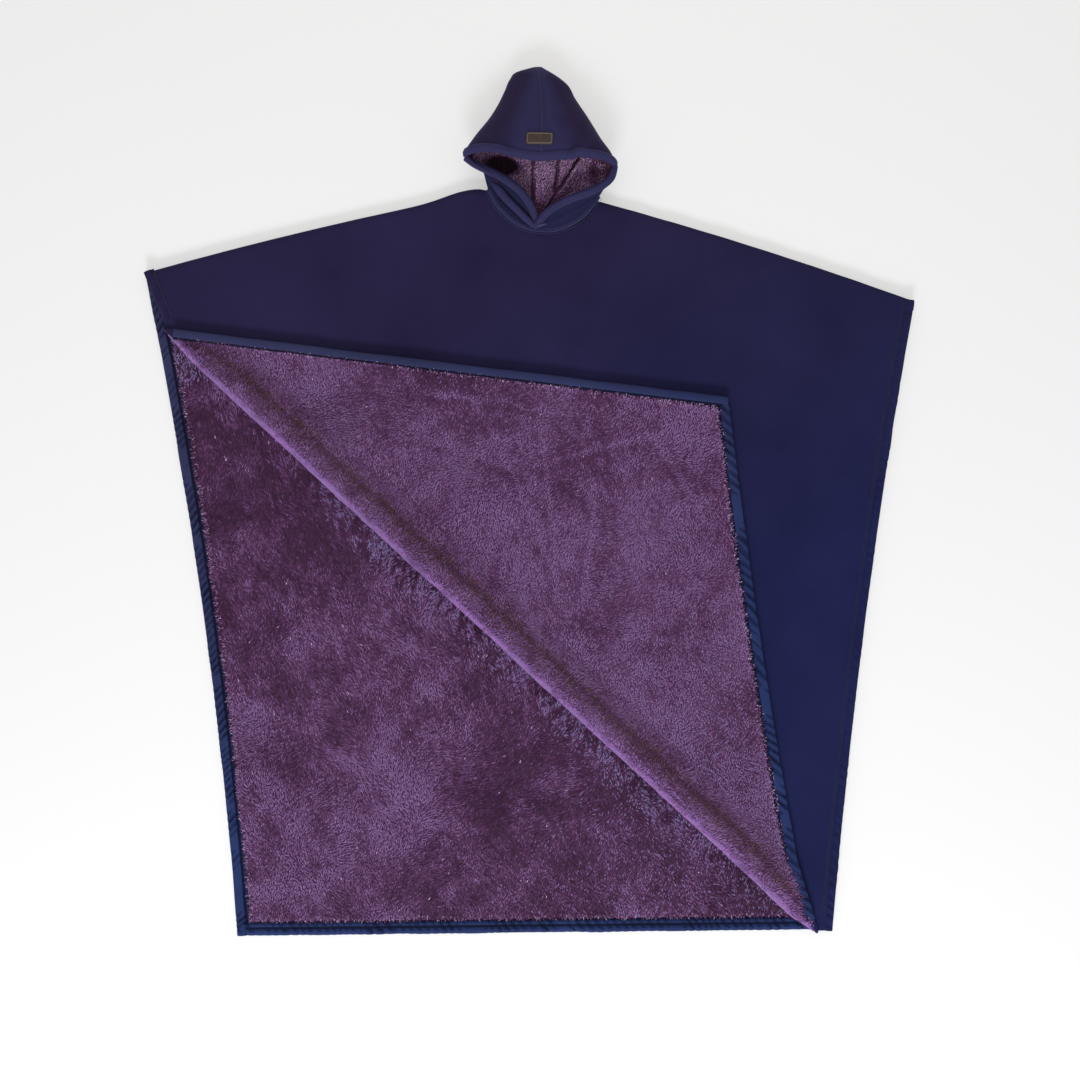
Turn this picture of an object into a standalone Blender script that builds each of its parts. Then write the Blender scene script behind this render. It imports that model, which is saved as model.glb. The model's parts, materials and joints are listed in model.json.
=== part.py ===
"""Hooded blanket poncho, laid flat with its front up and one front corner folded back.

Two trapezoid panels, each a fleece shell with a plush lining, are joined along the shoulders and
open down both sides. A two-panel hood is set into the neckline. The front's lower left corner
is turned over a diagonal fold, so its lining and the back's lining both show.

Frame: metres, +Z up off the floor, +Y from the hem to the hood, +X to the wearer's left when the
front is up. The origin is the middle of the bounding box, on the floor.
"""

import math

import bmesh
import bpy
from mathutils import Matrix, Vector

# Cut of the blanket, as laid
TIP_SPAN = 1.544
LENGTH = 1.742
LEFT_TIP = (-TIP_SPAN / 2, 0.461)
RIGHT_TIP = (TIP_SPAN / 2, 0.405)
HEM_LEFT = (-0.586, -LENGTH / 2)
HEM_RIGHT = (0.608, -0.858)
NECK_LEFT = (-0.078, 0.625)
NECK_RIGHT = (0.134, 0.607)
LEFT_SIDE_HOLLOW = 0.021
RIGHT_SIDE_HOLLOW = 0.015
LEFT_SHOULDER_BOW = 0.008
RIGHT_SHOULDER_BOW = 0.007
FRONT_NECK_DEPTH = 0.071
BACK_NECK_DEPTH = 0.032
CURVE_STEPS = 8
NECK_STEPS = 16

# Layers
SHELL_THICK = 0.004
LINING_THICK = 0.0055
GAP = 0.0005
BINDING_WIDTH = 0.026
SHOULDER_SEAM_WIDTH = 0.006
BACK_SHELL_Z = 0.0
BACK_LINING_Z = BACK_SHELL_Z + SHELL_THICK + GAP
FRONT_LINING_Z = BACK_LINING_Z + LINING_THICK + GAP
FRONT_SHELL_Z = FRONT_LINING_Z + LINING_THICK + GAP
FRONT_TOP_Z = FRONT_SHELL_Z + SHELL_THICK
FLAP_SHELL_Z = FRONT_TOP_Z + GAP
FLAP_LINING_Z = FLAP_SHELL_Z + SHELL_THICK + GAP

# Folded corner: the fold runs from the left side down to the hem
FOLD_START = (-0.726, 0.347)
FOLD_END = (0.578, -0.8573)
FLAP_CORNER = (0.397, 0.210)
FLAP_FOOT_SHARE = 0.985
FLAP_HEM_HOLLOW = 0.010
FOLD_AXIS_Z = FRONT_TOP_Z + GAP / 2
FLAP_PIECES = ("flap_shell", "flap_lining", "flap_hem_binding", "flap_left_binding")

# Neck seam and topstitching
NECK_SEAM_WIDTH = 0.008
NECK_SEAM_THICK = 0.002
CROSSOVER = (0.031, 0.552)
COLLAR_MARGIN = 0.002
COLLAR_TOP_SHARE = 0.15
TACK_SIZE = (0.022, 0.005, 0.0015)
STITCH_RADIUS = 0.0006
STITCH_INSET = 0.020

# Hood: stations run from the neck (0) to the peak (1); each is a flattened loop on the floor
HOOD_CENTRE_X = 0.022
HOOD_NECK_Y = 0.612
HOOD_PEAK_Y = LENGTH / 2
HALF_WIDTHS = ((0.0, 0.086), (0.09, 0.112), (0.26, 0.150), (0.405, 0.130), (0.61, 0.095), (0.757, 0.075),
               (0.869, 0.061), (0.95, 0.038), (1.0, 0.009))
HEIGHTS = ((0.0, 0.045), (0.22, 0.096), (0.42, 0.086), (0.75, 0.052), (0.94, 0.034), (1.0, 0.024))
STATIONS = (0.0, 0.09, 0.18, 0.285, 0.36, 0.45, 0.55, 0.65, 0.75, 0.85, 0.9, 0.94, 0.985, 1.0)
LINING_STATIONS = tuple(v for v in STATIONS if v <= 0.9)
LOOP_STEPS = 11
TIP_STEP = 6
BRIM_START = 0.18
BRIM_END = 0.25
LOOP_SQUARENESS = 0.8
CENTRE_SEAM_WIDTH = 0.010
SEAM_CLEAR = 0.0015
HOOD_LINING_INSET = 0.0068
BRIM_THICK = 0.008
BRIM_TIP_CLEAR = 0.6
HOOD_AXIS = (HOOD_CENTRE_X, 0.609, FRONT_TOP_Z + GAP)
HOOD_PIECES = ("hood_shell_left", "hood_shell_right", "hood_lining_left", "hood_lining_right",
               "hood_centre_seam", "hood_brim_band", "leather_label", "label_stitching")

# Leather label on the forehead of the hood
LABEL_SIZE = (0.054, 0.026, 0.0016)
LABEL_STATION = 0.36
LABEL_LIFT = 0.0014
LABEL_STITCH_INSET = 0.0028

# Colours, linear RGB
NAVY = (0.018, 0.017, 0.068)
NAVY_EDGE = (0.024, 0.027, 0.095)
PLUM = (0.108, 0.040, 0.118)
LEATHER = (0.068, 0.034, 0.021)
THREAD = (0.030, 0.032, 0.090)


def material(name, colour, roughness):
    made = bpy.data.materials.new(name)
    made.use_nodes = True
    shader = made.node_tree.nodes["Principled BSDF"]
    shader.inputs["Base Color"].default_value = (*colour, 1.0)
    shader.inputs["Roughness"].default_value = roughness
    shader.inputs["Metallic"].default_value = 0.0
    made.diffuse_color = (*colour, 1.0)
    return made


def lerp(p, q, t):
    return tuple(a + (b - a) * t for a, b in zip(p, q))


def profile(knots, v):
    """Value at v on the straight lines between (station, value) knots."""
    for (v0, a), (v1, b) in zip(knots, knots[1:]):
        if v <= v1:
            t = (v - v0) / (v1 - v0)
            return a + (b - a) * t
    return knots[-1][1]


def bowed(p, q, bow, steps=CURVE_STEPS):
    """Points from p to q, ends included, bowed to the left of that direction by bow at the middle."""
    dx, dy = q[0] - p[0], q[1] - p[1]
    length = math.hypot(dx, dy)
    normal = (-dy / length, dx / length)
    points = []
    for i in range(steps + 1):
        t = i / steps
        lift = 4 * t * (1 - t) * bow
        x, y = lerp(p, q, t)
        points.append((x + normal[0] * lift, y + normal[1] * lift))
    return points


def neckline(depth, first=0, last=NECK_STEPS, margin=0.0):
    """Half ellipse from the left to the right neck point, dipping by depth; margin narrows it at each end."""
    left = lerp(NECK_LEFT, NECK_RIGHT, margin)
    right = lerp(NECK_RIGHT, NECK_LEFT, margin)
    points = []
    for i in range(first, last + 1):
        t = i / NECK_STEPS
        x, y = lerp(left, right, (1 - math.cos(math.pi * t)) / 2)
        points.append((x, y - depth * math.sin(math.pi * t)))
    return points


def inset(outline, offsets):
    """The outline with edge i moved inwards by offsets[i]; the outline runs anticlockwise."""
    count = len(outline)
    lines = []
    for i in range(count):
        p, q = Vector(outline[i]), Vector(outline[(i + 1) % count])
        along = (q - p).normalized()
        normal = Vector((-along.y, along.x))
        lines.append((p + normal * offsets[i], along, normal))
    points = []
    for i in range(count):
        p0, d0, _ = lines[i - 1]
        p1, d1, n1 = lines[i]
        cross = d0.x * d1.y - d0.y * d1.x
        if abs(cross) < 1e-3:
            points.append(tuple(Vector(outline[i]) + n1 * offsets[i]))
            continue
        t = ((p1.x - p0.x) * d1.y - (p1.y - p0.y) * d1.x) / cross
        points.append(tuple(p0 + d0 * t))
    return points


def plate(name, outline, z_low, thickness, finish, collection):
    """A flat outline with a thickness."""
    curve = bpy.data.curves.new(name, "CURVE")
    curve.dimensions = "2D"
    curve.fill_mode = "BOTH"
    curve.extrude = thickness / 2
    spline = curve.splines.new("POLY")
    spline.points.add(len(outline) - 1)
    for point, (x, y) in zip(spline.points, outline):
        point.co = (x, y, 0, 1)
    spline.use_cyclic_u = True
    obj = bpy.data.objects.new(name, curve)
    obj.location.z = z_low + thickness / 2
    curve.materials.append(finish)
    collection.objects.link(obj)
    return obj


def thread(name, points, radius, finish, collection, cyclic=False):
    """A stitch line, as a thin tube along points."""
    curve = bpy.data.curves.new(name, "CURVE")
    curve.dimensions = "3D"
    curve.bevel_depth = radius
    curve.bevel_resolution = 1
    curve.use_fill_caps = True
    spline = curve.splines.new("POLY")
    spline.points.add(len(points) - 1)
    for point, place in zip(spline.points, points):
        point.co = (*place, 1)
    spline.use_cyclic_u = cyclic
    obj = bpy.data.objects.new(name, curve)
    curve.materials.append(finish)
    collection.objects.link(obj)
    return obj


def edge_strip(outline, edges, width, before=BINDING_WIDTH, after=BINDING_WIDTH):
    """The strip inside a run of edges: mitred with a binding at either end, butted against anything else."""
    count = len(outline)
    first, last = edges[0] - 1, (edges[-1] + 1) % count
    outer_offsets = [0.0] * count
    outer_offsets[first] = 0.0 if before == BINDING_WIDTH else before
    outer_offsets[last] = 0.0 if after == BINDING_WIDTH else after
    inner_offsets = [width if i in edges else 0.0 for i in range(count)]
    inner_offsets[first] = before
    inner_offsets[last] = after
    corners = list(edges) + [last]
    rows = []
    for offsets in (outer_offsets, inner_offsets):
        moved = inset(outline, offsets)
        row = [Vector(moved[i]) for i in corners]
        row[0] = row[0] + (row[1] - row[0]).normalized() * GAP
        row[-1] = row[-1] + (row[-2] - row[-1]).normalized() * GAP
        rows.append(row)
    return [tuple(p) for p in rows[0] + rows[1][::-1]]


def joined(runs):
    """One closed outline from (kind, points) runs that meet end to end, and the kind of each edge."""
    points, kinds = [], []
    for kind, run in runs:
        points += run[:-1]
        kinds += [kind] * (len(run) - 1)
    return points, kinds


def shoulders_and_neck(neck_depth):
    """From the right tip over the right shoulder, the neckline and the left shoulder to the left tip."""
    return [
        ("right_shoulder", bowed(RIGHT_TIP, NECK_RIGHT, -RIGHT_SHOULDER_BOW)),
        ("neck", neckline(neck_depth)[::-1]),
        ("left_shoulder", bowed(NECK_LEFT, LEFT_TIP, -LEFT_SHOULDER_BOW)),
    ]


def back_outline():
    """Anticlockwise from the left end of the hem."""
    hem = ("hem", [HEM_LEFT, HEM_RIGHT])
    right = ("right", bowed(HEM_RIGHT, RIGHT_TIP, RIGHT_SIDE_HOLLOW))
    left = ("left", bowed(LEFT_TIP, HEM_LEFT, LEFT_SIDE_HOLLOW))
    return joined([hem, right] + shoulders_and_neck(BACK_NECK_DEPTH) + [left])


def front_outline():
    """Anticlockwise from the foot of the fold, where little of the hem is left."""
    hem = ("hem", [FOLD_END, HEM_RIGHT])
    right = ("right", bowed(HEM_RIGHT, RIGHT_TIP, RIGHT_SIDE_HOLLOW))
    left = ("left", [LEFT_TIP, FOLD_START])
    fold = ("fold", [FOLD_START, FOLD_END])
    return joined([hem, right] + shoulders_and_neck(FRONT_NECK_DEPTH) + [left, fold])


def flap_outline():
    """Anticlockwise from the start of the fold: the fold, the front's hem and the front's left side."""
    foot = lerp(FOLD_START, FOLD_END, FLAP_FOOT_SHARE)
    return joined([
        ("fold", [FOLD_START, foot]),
        ("hem", bowed(foot, FLAP_CORNER, FLAP_HEM_HOLLOW)),
        ("left", [FLAP_CORNER, FOLD_START]),
    ])


SEAM_OFFSET = SHOULDER_SEAM_WIDTH + GAP
SHELL_OFFSETS = {"left_shoulder": SEAM_OFFSET, "right_shoulder": SEAM_OFFSET, "fold": GAP}
LINING_OFFSETS = {"hem": BINDING_WIDTH + GAP, "right": BINDING_WIDTH + GAP, "left": BINDING_WIDTH + GAP,
                  **SHELL_OFFSETS}


def panel(side, outline, kinds, shell_z, lining_z, finishes, collection):
    """A shell with its lining set in by the bindings' width."""
    shell = inset(outline, [SHELL_OFFSETS.get(k, 0.0) for k in kinds])
    lining = inset(outline, [LINING_OFFSETS.get(k, 0.0) for k in kinds])
    plate(f"{side}_shell", shell, shell_z, SHELL_THICK, finishes["shell"], collection)
    plate(f"{side}_lining", lining, lining_z, LINING_THICK, finishes["plush"], collection)


def bindings(side, outline, kinds, z, finishes, collection):
    """The shell cloth turned over each open edge onto the lining."""
    widths = {"hem": BINDING_WIDTH, "left": BINDING_WIDTH, "right": BINDING_WIDTH, **SHELL_OFFSETS}
    for kind in ("hem", "right", "left"):
        edges = [i for i, k in enumerate(kinds) if k == kind]
        if not edges:
            continue
        before = widths[kinds[edges[0] - 1]]
        after = widths[kinds[(edges[-1] + 1) % len(kinds)]]
        strip = edge_strip(outline, edges, BINDING_WIDTH, before, after)
        plate(f"{side}_{kind}_binding", strip, z, LINING_THICK, finishes["binding"], collection)


def shoulder_seams(finishes, collection):
    """The seams that join the front to the back, as high as both."""
    outline, kinds = back_outline()
    for side in ("left", "right"):
        edges = [i for i, k in enumerate(kinds) if k == f"{side}_shoulder"]
        strip = edge_strip(outline, edges, SHOULDER_SEAM_WIDTH, 0.0, 0.0)
        plate(f"{side}_shoulder_seam", strip, BACK_SHELL_Z, FRONT_TOP_Z, finishes["shell"], collection)


def neck_parts(finishes, collection):
    """The taped neck seam, the hood's two crossed fronts inside it, and the tack that holds them."""
    outer = neckline(FRONT_NECK_DEPTH + NECK_SEAM_WIDTH, 1, NECK_STEPS - 1)
    inner = neckline(FRONT_NECK_DEPTH + GAP, 1, NECK_STEPS - 1)
    plate("neck_seam_tape", outer + inner[::-1], FRONT_TOP_Z + GAP, NECK_SEAM_THICK,
          finishes["thread"], collection)
    depth = FRONT_NECK_DEPTH - COLLAR_MARGIN
    seam = neckline(depth, margin=COLLAR_MARGIN * 4)
    middle = NECK_STEPS // 2
    halves = {"left": (seam[1:middle], -COLLAR_MARGIN), "right": (seam[:middle:-1][1:], COLLAR_MARGIN)}
    for side, (run, clear) in halves.items():
        top = lerp(run[0], (HOOD_CENTRE_X, run[0][1]), COLLAR_TOP_SHARE)
        edge = bowed((CROSSOVER[0] + clear, CROSSOVER[1]), top, clear * 2, middle)
        outline = run + edge
        plate(f"hood_front_{side}_shell", outline, FRONT_SHELL_Z, SHELL_THICK, finishes["shell"], collection)
        plate(f"hood_front_{side}_lining", outline, FRONT_LINING_Z, LINING_THICK,
              finishes["plush"], collection)
    bpy.ops.mesh.primitive_cube_add(size=1)
    tack = bpy.context.object
    tack.scale = TACK_SIZE
    bpy.ops.object.transform_apply(location=False, rotation=False, scale=True)
    tack.location = (CROSSOVER[0], CROSSOVER[1] + 0.002, FRONT_TOP_Z + GAP + TACK_SIZE[2] / 2)
    settle(tack, "crossover_tack", finishes["thread"], collection)


def settle(obj, name, finish, collection):
    """Names a mesh object, gives it its material and moves it to the collection."""
    obj.name = name
    obj.data.name = name
    obj.data.materials.clear()
    obj.data.materials.append(finish)
    for other in list(obj.users_collection):
        other.objects.unlink(obj)
    collection.objects.link(obj)


def side_topstitch(finishes, collection):
    """The stitch line that holds the front's right binding."""
    outline, kinds = front_outline()
    moved = inset(outline, [STITCH_INSET] * len(outline))
    z = FRONT_TOP_Z + GAP + STITCH_RADIUS
    points = [(*moved[i], z) for i, kind in enumerate(kinds) if kind == "right"]
    thread("front_right_topstitch", points, STITCH_RADIUS, finishes["thread"], collection)


def hood_point(side, v, step, inset_by=0.0, half_gap=CENTRE_SEAM_WIDTH / 2 + SEAM_CLEAR):
    """A point of the hood: v from neck to peak, step round the half loop from the top to the bottom."""
    angle = math.pi * step / LOOP_STEPS
    width = profile(HALF_WIDTHS, v) - inset_by - half_gap
    height = profile(HEIGHTS, v) - 2 * inset_by
    x = half_gap + max(width, 0.001) * math.sin(angle) ** LOOP_SQUARENESS
    z = inset_by + height * (1 + math.cos(angle)) / 2
    y = HOOD_NECK_Y + v * (HOOD_PEAK_Y - HOOD_NECK_Y)
    return Vector((HOOD_CENTRE_X + side * x, y, z))


def hood_half(name, side, stations, inset_by, half_gap, thickness, finish, collection):
    """One side of the hood: whole loops behind the brim, and only the cheek below it."""
    mesh = bmesh.new()
    grid = {}
    for i, v in enumerate(stations):
        first = 0 if v >= BRIM_END else TIP_STEP
        for step in range(first, LOOP_STEPS + 1):
            grid[i, step] = mesh.verts.new(hood_point(side, v, step, inset_by, half_gap))
    for (i, step) in list(grid):
        corners = [(i, step), (i + 1, step), (i + 1, step + 1), (i, step + 1)]
        if all(c in grid for c in corners):
            order = corners[::-1] if side > 0 else corners
            mesh.faces.new([grid[c] for c in order])
    data = bpy.data.meshes.new(name)
    mesh.to_mesh(data)
    mesh.free()
    obj = bpy.data.objects.new(name, data)
    data.materials.append(finish)
    collection.objects.link(obj)
    thicken(obj, thickness)
    return obj


def thicken(obj, thickness):
    solid = obj.modifiers.new("thickness", "SOLIDIFY")
    solid.thickness = thickness
    solid.offset = -1.0
    solid.use_even_offset = True


def brim_band(finishes, collection):
    """The turned and stitched band along the hood's face edge, from tip to tip over the forehead."""
    mesh = bmesh.new()
    rows = []
    places = [TIP_STEP - BRIM_TIP_CLEAR] + list(range(TIP_STEP - 1, 0, -1))
    steps = [(-1, s) for s in places] + [(1, s) for s in reversed(places)]
    for v in (BRIM_START, BRIM_END - GAP * 4):
        rows.append([mesh.verts.new(hood_point(side, v, step, 0.0, 0.0)) for side, step in steps])
    for a, b, c, d in zip(rows[0], rows[0][1:], rows[1][1:], rows[1]):
        mesh.faces.new([a, b, c, d])
    data = bpy.data.meshes.new("hood_brim_band")
    mesh.to_mesh(data)
    mesh.free()
    obj = bpy.data.objects.new("hood_brim_band", data)
    data.materials.append(finishes["binding"])
    collection.objects.link(obj)
    thicken(obj, BRIM_THICK)


def centre_seam(finishes, collection):
    """The seam strip between the hood's halves: over the crown, round the peak and down the back."""
    stations = [v for v in STATIONS if v >= BRIM_END]
    top = [(hood_point(1, v, 0).y, hood_point(1, v, 0).z) for v in stations]
    peak_y = top[-1][0]
    outer = top + [(peak_y, 0.0), (HOOD_NECK_Y, 0.0)]
    depth = SHELL_THICK
    inner_top = [(y, z - depth) for y, z in top[:-1]]
    inner = inner_top + [(peak_y - depth, top[-1][1] - depth), (peak_y - depth, depth), (HOOD_NECK_Y, depth)]
    obj = plate("hood_centre_seam", outer + inner[::-1], 0.0, CENTRE_SEAM_WIDTH,
                finishes["shell"], collection)
    obj.matrix_world = Matrix(((0, 0, 1, HOOD_CENTRE_X), (1, 0, 0, 0), (0, 1, 0, 0), (0, 0, 0, 1)))


def label(finishes, collection):
    """A plain leather patch across the centre seam, with its stitching."""
    here = hood_point(1, LABEL_STATION, 0)
    ahead = hood_point(1, LABEL_STATION + 0.05, 0)
    tilt = math.atan2(ahead.z - here.z, ahead.y - here.y)
    turn = Matrix.Rotation(tilt, 4, "X")
    up = turn @ Vector((0, 0, 1))
    centre = Vector((HOOD_CENTRE_X, here.y, here.z)) + up * (LABEL_LIFT + LABEL_SIZE[2] / 2)
    bpy.ops.mesh.primitive_cube_add(size=1)
    patch = bpy.context.object
    patch.scale = LABEL_SIZE
    bpy.ops.object.transform_apply(location=False, rotation=False, scale=True)
    patch.matrix_world = Matrix.Translation(centre) @ turn
    settle(patch, "leather_label", finishes["leather"], collection)
    half_x = LABEL_SIZE[0] / 2 - LABEL_STITCH_INSET
    half_y = LABEL_SIZE[1] / 2 - LABEL_STITCH_INSET
    lift = LABEL_SIZE[2] / 2 + GAP + STITCH_RADIUS
    corners = [(-half_x, -half_y, lift), (half_x, -half_y, lift),
               (half_x, half_y, lift), (-half_x, half_y, lift)]
    loop = thread("label_stitching", corners, STITCH_RADIUS, finishes["thread"], collection, cyclic=True)
    loop.matrix_world = patch.matrix_world


def hood(finishes, collection):
    lining_gap = 2 * GAP
    for name, side in (("left", -1), ("right", 1)):
        hood_half(f"hood_shell_{name}", side, STATIONS, 0.0, CENTRE_SEAM_WIDTH / 2 + SEAM_CLEAR, SHELL_THICK,
                  finishes["shell"], collection)
        hood_half(f"hood_lining_{name}", side, LINING_STATIONS, HOOD_LINING_INSET, lining_gap, LINING_THICK,
                  finishes["plush"], collection)
    centre_seam(finishes, collection)
    brim_band(finishes, collection)
    label(finishes, collection)


def hang(pivot_name, place, names, collection):
    """Puts an empty on a hinge's line and hangs the pieces that turn about it from the empty."""
    pivot = bpy.data.objects.new(pivot_name, None)
    pivot.location = place
    collection.objects.link(pivot)
    for name in names:
        obj = bpy.data.objects[name]
        obj.parent = pivot
        obj.matrix_parent_inverse = Matrix.Translation(place).inverted()


def main():
    for obj in list(bpy.data.objects):
        bpy.data.objects.remove(obj)
    collection = bpy.data.collections.new("hooded_blanket")
    bpy.context.scene.collection.children.link(collection)
    finishes = {
        "shell": material("fleece_shell", NAVY, 0.85),
        "binding": material("turned_binding", NAVY_EDGE, 0.8),
        "plush": material("plush_lining", PLUM, 0.9),
        "leather": material("leather", LEATHER, 0.55),
        "thread": material("thread", THREAD, 0.7),
    }
    layers = {
        "back": (back_outline(), BACK_SHELL_Z, BACK_LINING_Z),
        "front": (front_outline(), FRONT_SHELL_Z, FRONT_LINING_Z),
        "flap": (flap_outline(), FLAP_SHELL_Z, FLAP_LINING_Z),
    }
    for side, ((outline, kinds), shell_z, lining_z) in layers.items():
        panel(side, outline, kinds, shell_z, lining_z, finishes, collection)
        bindings(side, outline, kinds, lining_z, finishes, collection)
    shoulder_seams(finishes, collection)
    neck_parts(finishes, collection)
    side_topstitch(finishes, collection)
    hood(finishes, collection)
    hang("front_flap_pivot", (*FOLD_START, FOLD_AXIS_Z), FLAP_PIECES, collection)
    hang("hood_pivot", HOOD_AXIS, HOOD_PIECES, collection)


main()
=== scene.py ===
"""Looks of the hooded poncho blanket: fleece shell, long plush lining, turned bindings and a hood.

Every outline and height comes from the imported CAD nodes. Metres, in the row's frame:
+Z up off the floor, +Y from the hem to the hood.
"""

import json
import math

import bpy
import numpy as np
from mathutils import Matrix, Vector

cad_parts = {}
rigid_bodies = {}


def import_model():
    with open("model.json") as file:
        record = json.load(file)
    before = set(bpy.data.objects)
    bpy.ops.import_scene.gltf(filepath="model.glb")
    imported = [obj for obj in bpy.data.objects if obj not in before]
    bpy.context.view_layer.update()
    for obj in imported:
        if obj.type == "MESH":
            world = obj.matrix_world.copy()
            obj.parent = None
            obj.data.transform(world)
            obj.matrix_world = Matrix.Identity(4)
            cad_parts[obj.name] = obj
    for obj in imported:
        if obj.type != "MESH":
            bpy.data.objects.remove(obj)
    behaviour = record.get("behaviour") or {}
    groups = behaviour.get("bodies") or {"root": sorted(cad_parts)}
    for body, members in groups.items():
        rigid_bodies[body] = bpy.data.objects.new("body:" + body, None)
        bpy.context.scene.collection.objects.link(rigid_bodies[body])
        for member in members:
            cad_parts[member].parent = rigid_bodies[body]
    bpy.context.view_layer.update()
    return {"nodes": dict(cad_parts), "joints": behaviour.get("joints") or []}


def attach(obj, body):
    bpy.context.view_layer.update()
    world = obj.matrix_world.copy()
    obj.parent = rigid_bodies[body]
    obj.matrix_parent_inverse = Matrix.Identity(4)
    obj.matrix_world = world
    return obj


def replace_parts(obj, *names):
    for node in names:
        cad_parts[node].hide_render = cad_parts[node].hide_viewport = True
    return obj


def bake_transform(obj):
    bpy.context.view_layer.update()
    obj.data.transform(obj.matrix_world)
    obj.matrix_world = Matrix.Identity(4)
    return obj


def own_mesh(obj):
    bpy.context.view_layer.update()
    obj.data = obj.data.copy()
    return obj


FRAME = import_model()
SEAM_REACH = 0.0062      # the shoulder seams' width, which the cloth covers
ROLL_HEIGHT = 0.017      # how high the diagonal fold stands above the flap
ROLL_WIDTH = 0.074       # from the fold's ridge to where the flap lies flat
RIDGE_OUT = 0.0125       # from the fold's axis out to the ridge
BINDING = 0.026          # how wide the turned bindings are
SHELL_THICK = 0.0038     # the fleece shell with its backing
FRONT_TOP = 0.0202       # the highest that the front's shell lies
FLAP_LOW = 0.0213        # the underside of the turned-back corner's shell
BACK_STEPS = 80, 32, 80  # grid columns across the back: shoulder, neck, shoulder
FOLD_STEPS = 150         # grid columns along the fold
STUB_STEPS = 6           # and along the bit of hem beyond it
# the brown tufts are painted shade, the lilac ones a painted highlight and the white ones painted glints
BROWN_SHADE_TUFT, LILAC_HIGHLIGHT_TUFT, BLUE_TUFT, GLINT_TUFT = 5, 6, 7, 8      # places in the panels' list of shades
rng = np.random.RandomState(7)


# ---------------------------------------------------------------- noise and small maths

def value_noise(x, y, size, seed):
    """Smooth noise from -1 to 1 over the plan, with features about size across."""
    table = np.random.RandomState(seed).rand(256, 256) * 2 - 1
    u, v = np.asarray(x) / size + 900.5, np.asarray(y) / size + 900.5
    i, j = np.floor(u).astype(int), np.floor(v).astype(int)
    f, g = u - i, v - j
    f, g = f * f * (3 - 2 * f), g * g * (3 - 2 * g)
    a, b = table[i % 256, j % 256], table[(i + 1) % 256, j % 256]
    c, d = table[i % 256, (j + 1) % 256], table[(i + 1) % 256, (j + 1) % 256]
    return (a * (1 - f) + b * f) * (1 - g) + (c * (1 - f) + d * f) * g


def cloudy(x, y, size, seed, octaves=3):
    """Several sizes of that noise, each finer and weaker."""
    total, weight = 0.0, 0.0
    for k in range(octaves):
        share = 0.5 ** k
        total = total + value_noise(x, y, size * share, seed + k) * share
        weight += share
    return total / weight


def smooth(low, high, x):
    """0 at low and 1 at high, eased at both ends."""
    t = np.clip((np.asarray(x, float) - low) / (high - low), 0, 1)
    return t * t * (3 - 2 * t)


def through(knots, x):
    """Smooth curve through (place, value) knots, read at x."""
    k = np.array(knots, float)
    places, values = k[:, 0], k[:, 1:]
    slopes = np.gradient(values, places, axis=0)
    x = np.clip(np.asarray(x, float), places[0], places[-1])
    i = np.clip(np.searchsorted(places, x, side="right") - 1, 0, len(places) - 2)
    h = (places[i + 1] - places[i])[..., None]
    t = ((x - places[i])[..., None]) / h
    a, b = values[i], values[i + 1]
    made = (a * (2 * t ** 3 - 3 * t ** 2 + 1) + b * (3 * t ** 2 - 2 * t ** 3)
            + slopes[i] * h * (t ** 3 - 2 * t ** 2 + t) + slopes[i + 1] * h * (t ** 3 - t ** 2))
    return made[..., 0] if made.shape[-1] == 1 else made


# ---------------------------------------------------------------- outlines from the CAD nodes

def outline(node):
    """The plan outline of a flat CAD node, anticlockwise."""
    mesh = FRAME["nodes"][node].data
    co = np.array([v.co for v in mesh.vertices])
    top = co[:, 2].max()
    key = np.round(co[:, :2] * 1e5).astype(int)
    ids = {}
    name = [ids.setdefault(tuple(k), len(ids)) for k in key]
    place = {name[i]: co[i, :2] for i in range(len(co))}
    ahead = {}
    for p in mesh.polygons:
        if all(abs(co[i, 2] - top) < 1e-5 for i in p.vertices):
            ring = [name[i] for i in p.vertices]
            for a, b in zip(ring, ring[1:] + ring[:1]):
                ahead[(a, b)] = True
    edges = {a: b for a, b in ahead if (b, a) not in ahead}
    start = next(iter(edges))
    loop, here = [start], edges[start]
    while here != start:
        loop.append(here)
        here = edges[here]
    points = np.array([place[i] for i in loop])
    x, y = points[:, 0], points[:, 1]
    area = np.sum(x * np.roll(y, -1) - y * np.roll(x, -1))
    return points if area > 0 else points[::-1]


def corner(loop, towards):
    """Which of a loop's points is furthest in a direction."""
    return int(np.argmax(loop @ np.array(towards)))


def run(loop, a, b):
    """The stretch of the outline from corner a to corner b, ends included, anticlockwise."""
    n = len(loop)
    steps = (b - a) % n
    return np.array([loop[(a + k) % n] for k in range(steps + 1)])


def lengths(line):
    """How far along a line each of its points is."""
    return np.concatenate([[0], np.cumsum(np.linalg.norm(np.diff(line, axis=0), axis=1))])


def along(line, shares):
    """Points on a line at those shares of its length."""
    s = lengths(line)
    want = np.asarray(shares) * s[-1]
    return np.stack([np.interp(want, s, line[:, k]) for k in range(line.shape[1])], -1)


def trimmed(line, first, last):
    """The line without its first and last bits, in metres."""
    s = lengths(line)
    inner = line[(s > first) & (s < s[-1] - last)]
    ends = along(line, [first / s[-1], 1 - last / s[-1]])
    return np.concatenate([ends[:1], inner, ends[1:]])


def rounded(line, passes=3):
    """The line with its corners smoothed, ends kept."""
    for _ in range(passes):
        mid = (line[:-1] + line[1:]) / 2
        quarter = np.empty((2 * len(mid), line.shape[1]))
        quarter[0::2] = line[:-1] * 0.75 + line[1:] * 0.25
        quarter[1::2] = line[:-1] * 0.25 + line[1:] * 0.75
        line = np.concatenate([line[:1], quarter, line[-1:]])
    return line


def offset(line, distance):
    """The line moved to the left of its direction."""
    d = np.gradient(line, axis=0)
    d /= np.linalg.norm(d, axis=1)[:, None] + 1e-12
    return line + np.stack([-d[:, 1], d[:, 0]], -1) * distance


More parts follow.
